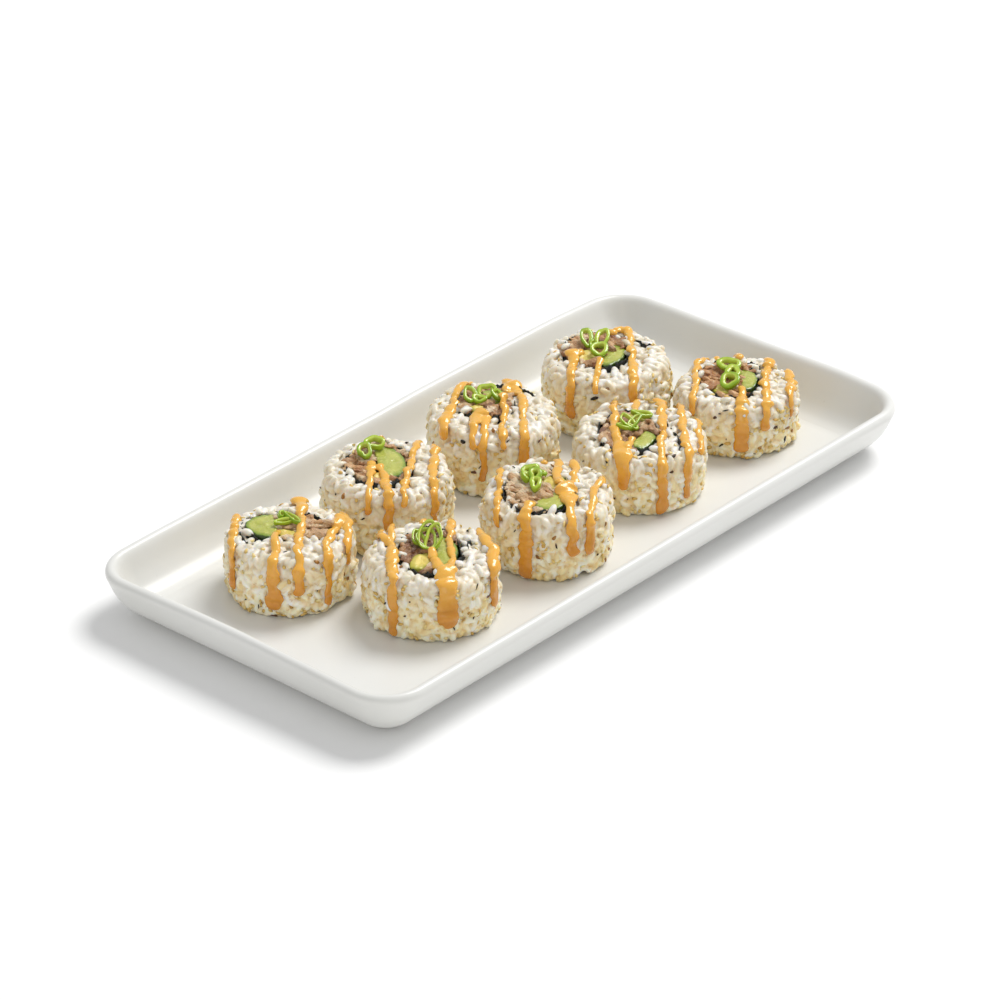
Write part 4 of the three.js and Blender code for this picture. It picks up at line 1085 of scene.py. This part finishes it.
def tree_of(objs):
    deps_v, deps_f, off = [], [], 0
    for o in objs:
        me = o.data
        co = np.empty(len(me.vertices) * 3, np.float32)
        me.vertices.foreach_get("co", co)
        me.calc_loop_triangles()
        tr = np.empty(len(me.loop_triangles) * 3, np.int32)
        me.loop_triangles.foreach_get("vertices", tr)
        deps_v.append(co.reshape(-1, 3))
        deps_f.append(tr.reshape(-1, 3) + off)
        off += len(me.vertices)
    v, f = np.vstack(deps_v), np.vstack(deps_f)
    return BVHTree.FromPolygons(v.tolist(), f.tolist(), all_triangles=True)


def fish(i, roll):
    names = [n for n in (f"fish_{i}", f"fish_{i}b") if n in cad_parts]
    g = np.random.default_rng(2000 + roll["seed"])
    pale, warm, grain_dir = FISH[i - 1]
    verts, faces, off, lower = [], [], 0, []
    # a core a little inside the solid
    for n in names:
        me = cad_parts[n].data
        co = np.array([v.co for v in me.vertices]) / MM
        top = co[:, 2].max()
        tr = np.array([p.vertices[:] for p in me.polygons if len(p.vertices) == 3])
        co = co.copy()
        whole = co.copy()
        whole[:, 2] = np.where(co[:, 2] > top - 0.5, top - 2.0, np.maximum(co[:, 2], FLOOR_Z + 0.05))
        lower.append(whole)
        co[:, 2] = np.where(co[:, 2] > top - 0.5, top - 1.15, top - 4.2)
        verts.append(co)
        faces.append(tr + off)
        off += len(co)
    under = build(f"fish_core_{i}", np.vstack(lower), tris=np.vstack(faces), values=dict(tint=np.full(off, 0.3), warm=np.full(off, warm), gap=np.zeros(off)))
    finish_piece(under, "fish", "fish")
    marks = [np.vstack(verts)]
    # the inner core shows only between the flakes; its very dark tint is painted shade in those gaps
    tints = [np.full(off, 0.10)]
    warms = [np.full(off, warm)]
    tree = tree_of([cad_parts[n] for n in names])
    cells, got = [], []
    for _ in range(2600):
        u, v = g.uniform(-roll["r"], roll["r"], 2)
        w = place(roll, np.array([u, v, 0.0]))
        hit = tree.ray_cast(Vector((w[0] * MM, w[1] * MM, 0.08)), Vector((0, 0, -1)))
        if hit[0] is None or hit[0].z / MM < FLOOR_Z + roll["h"] - 1.5:
            continue
        size = g.choice([0.85, 1.3, 2.0, 2.8], p=[0.27, 0.35, 0.26, 0.12])
        gap = 0.5 + 0.55 * size
        if any((w[0] - a) ** 2 + (w[1] - b) ** 2 < (0.5 * (gap + k)) ** 2 for a, b, k in cells):
            continue
        cells.append((w[0], w[1], gap))
        got.append((w[0], w[1], hit[0].z / MM, size))
    got = np.array(got)
    m = len(got)
    normal = np.column_stack([g.normal(0, 0.22, m), g.normal(0, 0.22, m), np.ones(m)])
    # frames_for measures its angle from a fixed direction, so flakes lie mostly one way
    F = frames_for(normal, math.radians(grain_dir) + g.normal(0, 0.45, m), g.normal(0, 0.22, m))
    sz = got[:, 3]
    scales = np.column_stack([sz * g.uniform(1.1, 1.7, m), sz * g.uniform(0.5, 0.8, m), sz * g.uniform(0.35, 0.6, m)])
    centres = got[:, :3].copy()
    centres[:, 2] += g.uniform(-1.0, 0.1, m)
    k = len(FLAKE[0])
    rough = np.repeat(g.normal(0, 0.12, (m, k))[:, :, None], 3, axis=2)
    fv, ff = scatter(centres, F, scales, bend=g.normal(0, 0.06, m), template=FLAKE, rough=rough)
    verts.append(fv)
    faces.append(ff + off)
    value = np.clip(g.beta(2.0, 2.0, m) * 0.75 + pale, 0, 1)
    cream = g.uniform(size=m) < (0.22 if i == 4 else 0.06)
    value[cream] = 1.0
    marks.append(fv)
    tints.append(np.repeat(value, k))
    warms.append(np.repeat(np.clip(g.normal(warm, 0.22, m), 0, 1), k))
    o = build(f"fish_flakes_{i}", np.vstack(verts), tris=np.vstack(faces))
    remeshed(o, 0.25, 1)
    thinned(o, 15500)
    co = points_of(o)
    level = FLOOR_Z + roll["h"]
    # gap: how far below the top of the filling a point lies, the mask for the painted shade between flakes
    add_value(o, "gap", np.clip((level + 0.1 - co[:, 2] / MM) / 1.5, 0, 1))
    add_value(o, "tint", carried(co, np.vstack(marks) * MM, np.concatenate(tints)))
    add_value(o, "warm", carried(co, np.vstack(marks) * MM, np.concatenate(warms)))
    return finish_piece(o, "fish", "fish", *names)


def onion(i, roll):
    names = [n for n in (f"onion_{i}", f"onion_{i}b", f"onion_{i}c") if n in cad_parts]
    g = np.random.default_rng(3000 + roll["seed"])
    V, Q, inner, tint, off = [], [], [], [], 0
    for j, (u, v, a, b, w, l, turn, tilt) in enumerate(RINGS[i - 1]):
        n = 44
        thick = 1.55 if i in (3, 4, 5, 7, 8) else 1.1
        a, b, w = a * 0.88, b * 0.88, min(w * thick, 1.9, 0.62 * min(a, b))
        t = np.linspace(0, 2 * math.pi, n, endpoint=False)
        wob = 1 + 0.07 * np.sin(2 * t + g.uniform(0, 6)) + 0.06 * np.sin(3 * t + g.uniform(0, 6)) + 0.03 * np.sin(5 * t + g.uniform(0, 6))
        wall = w * (1 + 0.14 * np.sin(t + g.uniform(0, 6)))
        section = [(0.10, -0.5), (0.0, -0.42), (-0.02, 0.0), (0.0, 0.42), (0.12, 0.5), (0.5, 0.54), (0.88, 0.5), (1.0, 0.40), (1.02, 0.0), (1.0, -0.40), (0.9, -0.5), (0.5, -0.54)]
        ll = l * (1 + 0.10 * np.sin(t * 1 + g.uniform(0, 6)) + 0.05 * np.sin(3 * t + g.uniform(0, 6)))
        rings = []
        for depth, z in section:
            ra, rb = a * wob - depth * wall, b * wob - depth * wall
            flare = 1 + 0.05 * z
            rings.append(np.column_stack([ra * flare * np.cos(t), rb * flare * np.sin(t), z * ll + 0.18 * np.sin(2 * t + j)]))
        m = len(section)
        P = np.stack(rings, 1).reshape(-1, 3)
        ct, st = math.cos(math.radians(tilt)), math.sin(math.radians(tilt))
        P = np.column_stack([P[:, 0], P[:, 1] * ct - P[:, 2] * st, P[:, 1] * st + P[:, 2] * ct])
        c2, s2 = math.cos(math.radians(turn)), math.sin(math.radians(turn))
        P = np.column_stack([P[:, 0] * c2 - P[:, 1] * s2, P[:, 0] * s2 + P[:, 1] * c2, P[:, 2]])
        P[:, 2] += roll["h"] + 0.75 - P[:, 2].min()
        P[:, 0] += u
        P[:, 1] += v
        V.append(place(roll, P))
        Q.append(grid_faces(n, m, close_rows=True, close_cols=True)[:, ::-1] + off)
        inner.append(np.tile(np.clip([s[0] for s in section], 0, 1), n))
        tint.append(np.full(n * m, (0.30, 0.75, 0.5)[j % 3] if i % 2 else (0.6, 0.25, 0.7)[j % 3]))
        off += n * m
    o = build(f"spring_onion_{i}", np.vstack(V), quads=np.vstack(Q), values=dict(inner=np.concatenate(inner), tint=np.concatenate(tint)))
    return finish_piece(o, "onion", "spring_onion", *names)


def nori(i, roll):
    path = nori_path(roll["nori"], roll["seed"])
    v, q, t = strip(path, 0.06, roll["h"] + 0.05, 0.54, 500 + i * 5)
    o = build(f"nori_sheet_{i}", place(roll, v), quads=q, tris=t)
    return finish_piece(o, "nori", "nori", f"nori_{i}")


made, grains = [], 0
for i, roll in enumerate(ROLLS, 1):
    rice_obj, m = rice(i, roll)
    grains += m
    made.append([rice_obj, nori(i, roll), cucumber(i, roll), avocado(i, roll), fish(i, roll), onion(i, roll)])


# ---------------------------------------------------------------- sauce
def down_side(roll, tree, start, sign, z_end, w_end, seed):
    """From a point on the top out over the edge, towards +v or -v, and down the side."""
    r = roll["r"]
    u, v, z0, w, _ = start
    v_edge = sign * math.sqrt(max(r * r - u * u, 1.0))
    d = np.array([u, v_edge]) / math.hypot(u, v_edge)
    line = []
    for s in np.linspace(0, 1, 9)[1:]:
        a = s * math.pi / 2
        vv = v + (v_edge + 0.2 * sign - v) * math.sin(a)
        line.append(np.array([u, vv, z0 - 3.6 * (1 - math.cos(a)), w + (w_end - w) * 0.35 * s, 0.25 * s]))
    z1 = line[-1][2]
    n = max(4, int((z1 - z_end) / 0.6))
    wander = np.random.default_rng(seed).normal(0, 0.35)
    for s in np.linspace(0, 1, n + 1)[1:]:
        zz = z1 + (z_end - z1) * s
        origin = place(roll, np.array([*(d * (r + 8.0)), zz]))
        hit = tree.ray_cast(Vector(origin * MM), Vector(turn_only(np.array([-d[0], -d[1], 0.0]))), 0.02)
        rr = r
        if hit[0] is not None:
            rr = math.hypot(hit[0][0] / MM - roll["x"], hit[0][1] / MM - roll["y"])
        uu = u + wander * s
        vv = sign * math.sqrt(max(rr * rr - uu * uu, 1.0))
        line.append(np.array([uu, vv, zz, w + (w_end - w) * (0.35 + 0.65 * min(1, s * 1.4)), 0.25 + 0.75 * s]))
    return line


def drape(roll, tree, spec, seed):
    """The strand's middle line in the roll's frame with its width and how far down it is, laid over what lies under it."""
    r, h = roll["r"], roll["h"]
    pts = catmull([(u, v - 1.6, min(w * 1.15, w + 0.6)) for u, v, w in spec["p"]], 0.5)
    out = []
    for u, v, w in pts:
        top = place(roll, np.array([u, v, h + 14.0]))
        hit = tree.ray_cast(Vector(top * MM), Vector((0, 0, -1)), 0.03)
        z = hit[0].z / MM - FLOOR_Z if hit[0] is not None else -99
        if np.hypot(u, v) < r - 2.2 and z > h - 4:
            out.append((u, v, z, w, 0.0))
    if not out:
        return None
    out = np.array(out)
    # sag between bumps: the line follows the highest things, not every gap
    z = out[:, 2].copy()
    k = 3
    hi = np.array([z[max(0, a - k): a + k + 1].max() for a in range(len(z))])
    z = 0.55 * hi + 0.45 * z
    for _ in range(4):
        z[1:-1] = 0.5 * z[1:-1] + 0.25 * (z[:-2] + z[2:])
    out[:, 2] = z
    line = [row for row in out]
    if spec["drip"] is not None:
        line += down_side(roll, tree, line[-1], -1.0, spec["drip"], spec["w"], seed)
    u, v = out[0][:2]
    if v > 0 and math.hypot(u, v) > r - 6.5:
        g = np.random.default_rng(seed + 77)
        line = down_side(roll, tree, line[0], 1.0, roll["h"] - g.uniform(3.5, 9.0), out[0][3] * 1.05, seed + 1)[::-1] + line
    line = np.array(line)
    # the side stretch is smoothed so that it bridges single grains
    for _ in range(3):
        line[1:-1, :3] = 0.5 * line[1:-1, :3] + 0.25 * (line[:-2, :3] + line[2:, :3])
    return line


def strand_mesh(roll, line, seed):
    """A rope of sauce: flat where it touches, round on top, beaded along its length, with a full round end."""
    p = line[:, :3]
    seg = np.linalg.norm(np.diff(p, axis=0), axis=1)
    s = np.concatenate([[0], np.cumsum(seg)])
    n = max(6, int(s[-1] / 0.55))
    t = np.linspace(0, s[-1], n)
    P = np.column_stack([np.interp(t, s, line[:, k]) for k in range(5)])
    tan = np.gradient(P[:, :3], axis=0)
    tan /= np.linalg.norm(tan, axis=1, keepdims=True)
    # outward: up on the top, away from the roll's axis on the side
    radial = P[:, :3].copy()
    radial[:, 2] = 0
    radial /= np.maximum(np.linalg.norm(radial, axis=1, keepdims=True), 1e-6)
    k = np.clip((np.abs(tan[:, 2]) - 0.1) / 0.7, 0, 1)[:, None]
    nrm = np.array([0, 0, 1.0]) * (1 - k) + radial * k
    nrm -= tan * (nrm * tan).sum(1, keepdims=True)
    nrm /= np.linalg.norm(nrm, axis=1, keepdims=True)
    side = np.cross(tan, nrm)
    beads = 0.5 * wobble(seed + 3, 3.0, 1)(P[:, :3]) + 0.7 * wobble(seed + 4, 5.5, 2)(P[:, :3])
    beads *= np.clip(1.15 - P[:, 4] * 1.1, 0.25, 1)
    slow = wobble(seed + 1, 7.0, 2)(P[:, :3])
    P[:, :3] += side * (0.35 * wobble(seed + 2, 6.0, 2)(P[:, :3]))[:, None]
    w = P[:, 3] * (1 + 0.13 * beads + 0.12 * slow) / 2
    end = np.minimum(t, s[-1] - t)
    cap = np.sqrt(np.clip(1 - (1 - np.clip(end / np.maximum(w, 0.3), 0, 1)) ** 2, 0.0, 1))
    w = w * np.maximum(cap, 0.05)
    tall = np.clip(P[:, 3] * 0.34, 0.8, 1.4) * (1 + 0.26 * beads) * (1 - 0.2 * P[:, 4]) * np.maximum(cap, 0.05)
    m = 14
    ang = np.linspace(0, 2 * math.pi, m, endpoint=False)
    ca, sa = np.cos(ang), np.sin(ang)
    rise = np.where(sa > 0, sa, sa * 0.55)
    V = P[:, None, :3] + side[:, None, :] * (w[:, None] * ca[None, :])[:, :, None] + nrm[:, None, :] * (tall[:, None] * rise[None, :] + 0.18)[:, :, None]
    V[:, :, 2] = np.maximum(V[:, :, 2], 0.06)
    # how far down the side each ring lies, the mask for the sauce's painted shade
    painted_shade_down_side = np.repeat(P[:, 4], m)
    faces = grid_faces(n, m, close_rows=False, close_cols=True)
    tris = []
    for e in ([*range(m)][::-1], [(n - 1) * m + q for q in range(m)]):
        for q in range(1, m - 1):
            tris.append((e[0], e[q], e[q + 1]))
    return place(roll, V.reshape(-1, 3)), faces, np.array(tris), painted_shade_down_side


def sauce(i, roll):
    objs = made[i - 1]
    tree = tree_of(objs)
    V, Q, T, D, off = [], [], [], [], 0
    for j, spec in enumerate(SAUCE[i - 1]):
        line = drape(roll, tree, spec, 4000 + i * 20 + j)
        if line is None or len(line) < 3:
            continue
        v, q, t, d = strand_mesh(roll, line, 5000 + i * 20 + j)
        V.append(v); Q.append(q + off); T.append(t + off); D.append(d)
        off += len(v)
    o = build(f"sauce_{i}", np.vstack(V), quads=np.vstack(Q), tris=np.vstack(T))
    remeshed(o, 0.38, 3)
    thinned(o, 11500)
    add_value(o, "painted_shade_down_side", carried(points_of(o), np.vstack(V) * MM, np.concatenate(D)))
    return finish_piece(o, "sauce", "sauce")


sauces = [sauce(i, roll) for i, roll in enumerate(ROLLS, 1)]


# ---------------------------------------------------------------- sesame seeds and flecks
def on_surface(roll, tree, g, count, low_bias=1.0, top_share=0.12):
    """Places on a roll's outside with their normals."""
    found = []
    r, h = roll["r"], roll["h"]
    while len(found) < count:
        if g.uniform() < top_share:
            a, rad = g.uniform(0, 2 * math.pi), g.uniform(0.62, 0.93) * r
            p = place(roll, np.array([rad * math.cos(a), rad * math.sin(a), h + 12]))
            hit = tree.ray_cast(Vector(p * MM), Vector((0, 0, -1)), 0.02)
        else:
            a, z = g.uniform(0, 2 * math.pi), h * (0.04 + 0.88 * g.uniform() ** low_bias)
            p = place(roll, np.array([(r + 8) * math.cos(a), (r + 8) * math.sin(a), z]))
            hit = tree.ray_cast(Vector(p * MM), Vector(turn_only(np.array([-math.cos(a), -math.sin(a), 0.0]))), 0.02)
        if hit[0] is not None:
            found.append((*(np.array(hit[0]) / MM), *hit[1]))
    return np.array(found)


SPECKS = [
    (1, -129, 5.9, 1.5, 0.5, 40, 0.1), (1, -118, 3.7, 1.2, 0.3, 100, 0.1), (1, -50, 6.8, 1.0, 0.5, 30, 0.4), (1, -104, 0.9, 2.0, 0.6, 0, 1.0),
    (2, -48, 20.5, 1.9, 0.42, 55, 0.1), (2, -52, 8.4, 1.6, 0.38, 55, 0.3), (2, -108, 16.8, 0.6, 0.5, 0, 0.0), (2, -112, 10.8, 0.8, 0.5, 20, 0.9),
    (2, -130, 14.2, 0.9, 0.6, 60, 0.6), (2, -70, 5.7, 1.3, 0.4, 110, 0.6), (3, -110, 16.7, 1.6, 0.5, 30, 0.5), (3, -144, 21.8, 1.2, 0.4, 90, 0.5),
    (4, -83, 15.8, 1.9, 0.5, 105, 0.7), (4, -40, 7.1, 1.2, 0.5, 20, 0.8), (4, -120, 20.0, 0.9, 0.35, 60, 0.1), (5, -118, 22.6, 1.5, 1.3, 0, 0.0),
    (5, -76, 23.4, 1.6, 0.35, 40, 0.0), (5, -45, 21.3, 1.5, 0.5, 35, 0.7), (5, -106, 10.9, 2.0, 0.9, 10, 0.9), (5, -101, 13.5, 1.8, 0.35, 50, 0.3),
    (6, -62, 17.3, 1.5, 0.7, 0, 0.8), (6, -122, 20.9, 1.3, 0.7, 130, 0.0), (6, -58, 22.4, 1.8, 1.1, 20, 0.5), (6, -115, 6.0, 1.2, 0.5, 40, 0.2),
    (7, -102, 19.3, 2.0, 1.0, 20, 0.0), (7, -156, 20.8, 1.3, 0.8, 50, 0.8), (7, -128, 10.0, 1.2, 0.4, 70, 0.4), (8, -104, 20.2, 1.7, 0.4, 20, 0.0),
    (8, -110, 18.7, 0.9, 0.4, 0, 0.1), (8, -106, 6.1, 2.4, 0.6, 45, 0.4), (8, -43, 5.1, 1.9, 1.1, 60, 0.0), (8, -55, 11.9, 1.6, 0.8, 0, 0.8), (8, -113, 17.5, 1.2, 0.9, 30, 0.8),
]


def seeds():
    V, F, T, off = [], [], [], 0
    V2, F2, T2, off2 = [], [], [], 0
    tmpl = ball(6, 5)
    for i, roll in enumerate(ROLLS, 1):
        g = np.random.default_rng(6000 + i)
        tree = tree_of([made[i - 1][0]])
        m = 205
        f = on_surface(roll, tree, g, m, 1.35, 0.10)
        radial = f[:, :3] - np.array([roll["x"], roll["y"], 0])
        radial[:, 2] = 0
        radial /= np.linalg.norm(radial, axis=1, keepdims=True)
        n = f[:, 3:6] * 0.5 + radial * 0.5
        F3 = frames_for(n, g.uniform(0, math.pi, m), g.normal(0, 0.2, m))
        sc = np.column_stack([g.uniform(1.1, 1.5, m), g.uniform(0.66, 0.88, m), g.uniform(0.36, 0.46, m)])
        c = f[:, :3] - n * 0.14
        local = tmpl[0].copy()
        # teardrop: one end pointed
        local[:, 1] *= 1 - 0.38 * local[:, 0]
        local[:, 2] *= 1 - 0.25 * local[:, 0]
        v, t = scatter(c, F3, sc, template=(local, tmpl[1]))
        v[:, 2] = np.maximum(v[:, 2], FLOOR_Z + 0.05)
        V.append(v); F.append(t + off); T.append(np.repeat(g.uniform(0, 1, m), len(local))); off += len(v)
        m2 = 9
        f = on_surface(roll, tree, g, m2, 1.2, 0.22)
        n = f[:, 3:6]
        F3 = frames_for(n, g.uniform(0, math.pi, m2), g.normal(0, 0.25, m2))
        sc = np.column_stack([g.uniform(0.3, 0.95, m2), g.uniform(0.16, 0.28, m2), g.uniform(0.14, 0.22, m2)])
        v, t = scatter(f[:, :3] + n * 0.05, F3, sc, template=tmpl, rough=np.repeat(g.normal(0, 0.15, (m2, len(tmpl[0])))[:, :, None], 3, axis=2))
        v[:, 2] = np.maximum(v[:, 2], FLOOR_Z + 0.05)
        V2.append(v); F2.append(t + off2); T2.append(np.repeat(g.uniform(0, 1, m2), len(tmpl[0]))); off2 += len(v)
        for k, deg, z, long, wide, turn, tone in SPECKS:
            if k != i:
                continue
            a = math.radians(deg)
            p = place(roll, np.array([(roll["r"] + 8) * math.cos(a), (roll["r"] + 8) * math.sin(a), z]))
            hit = tree.ray_cast(Vector(p * MM), Vector(turn_only(np.array([-math.cos(a), -math.sin(a), 0.0]))), 0.02)
            if hit[0] is None:
                continue
            out = turn_only(np.array([[math.cos(a), math.sin(a), 0.15]]))
            v, t = scatter(np.array([hit[0]]) / MM + out * 0.08, frames_for(out, np.array([math.radians(turn)])), np.array([[long * 0.8, wide * 0.68, 0.3]]), template=tmpl,
                           rough=np.repeat(g.normal(0, 0.12, (1, len(tmpl[0])))[:, :, None], 3, axis=2))
            V2.append(v); F2.append(t + off2); T2.append(np.full(len(v), tone)); off2 += len(v)
    a = build("sesame_seeds", np.vstack(V), tris=np.vstack(F), values=dict(tint=np.concatenate(T)))
    finish_piece(a, "sesame", "sesame")
    b = build("dark_flecks", np.vstack(V2), tris=np.vstack(F2), values=dict(tint=np.concatenate(T2)))
    finish_piece(b, "fleck", "nori")


seeds()

# ---------------------------------------------------------------- floor, light and camera
floor_me = bpy.data.meshes.new("floor")
S = 3.0
floor_me.from_pydata([(-S, -S, 0), (S, -S, 0), (S, S, 0), (-S, S, 0)], [], [(0, 1, 2, 3)])
floor = bpy.data.objects.new("floor", floor_me)
bpy.context.scene.collection.objects.link(floor)
fn = Nodes("floor_white")
fn.set(Base_Color=fn.ramp(fn.noise(3, 2), [(0.3, rgb(246, 246, 246)), (0.7, rgb(248, 248, 248))]), Roughness=0.8)
fn.bsdf.inputs["Specular IOR Level"].default_value = 0.1
fn.bsdf.inputs["Emission Color"].default_value = (1, 1, 1, 1)
fn.bsdf.inputs["Emission Strength"].default_value = 0.02
floor_me.materials.append(fn.done())

world = bpy.data.worlds.new("studio")
bpy.context.scene.world = world
world.use_nodes = True
world.node_tree.nodes["Background"].inputs[0].default_value = (0.985, 0.993, 1.0, 1)
world.node_tree.nodes["Background"].inputs[1].default_value = 0.55


def area(name, loc, look, size, power, colour=(1, 1, 1)):
    lamp = bpy.data.lights.new(name, "AREA")
    lamp.shape = "DISK"
    lamp.size = size
    lamp.energy = power
    lamp.color = colour
    o = bpy.data.objects.new(name, lamp)
    bpy.context.scene.collection.objects.link(o)
    o.location = loc
    o.rotation_euler = (Vector(look) - Vector(loc)).to_track_quat("-Z", "Y").to_euler()
    return o


area("key", (2.0, -0.06, 2.9), (0, 0, 0.01), 1.8, 98.0, (1.0, 0.995, 0.985))
area("fill", (-1.6, -1.45, 0.55), (0, 0, 0.02), 1.4, 5.0, (1.0, 0.955, 0.85))

AZ, EL, DIST = math.radians(-48.715), math.radians(29.556), 1.712686
TARGET = Vector((0.012783, 0.017579, 0.0))
back = Vector((math.sin(AZ) * math.cos(EL), -math.cos(AZ) * math.cos(EL), math.sin(EL)))
cam_data = bpy.data.cameras.new("camera")
cam_data.sensor_width = 36.0
cam_data.lens = 162.361
cam_data.clip_start = 0.05
cam_data.clip_end = 20.0
cam = bpy.data.objects.new("camera", cam_data)
bpy.context.scene.collection.objects.link(cam)
cam.location = TARGET + back * DIST
cam.rotation_euler = (-back).to_track_quat("-Z", "Y").to_euler()
bpy.context.scene.camera = cam
bpy.context.scene.view_settings.view_transform = "Standard"
bpy.context.scene.view_settings.look = "None"

COUNT = {o.name: sum(len(p.vertices) - 2 for p in o.data.polygons) for o in bpy.data.objects if o.type == "MESH" and o.data.materials and o.data.materials[0] and o.data.materials[0].name in [m.name for m in MAT.values()]}
print("largest", sorted(COUNT.items(), key=lambda kv: -kv[1])[:4], "total", sum(COUNT.values()))
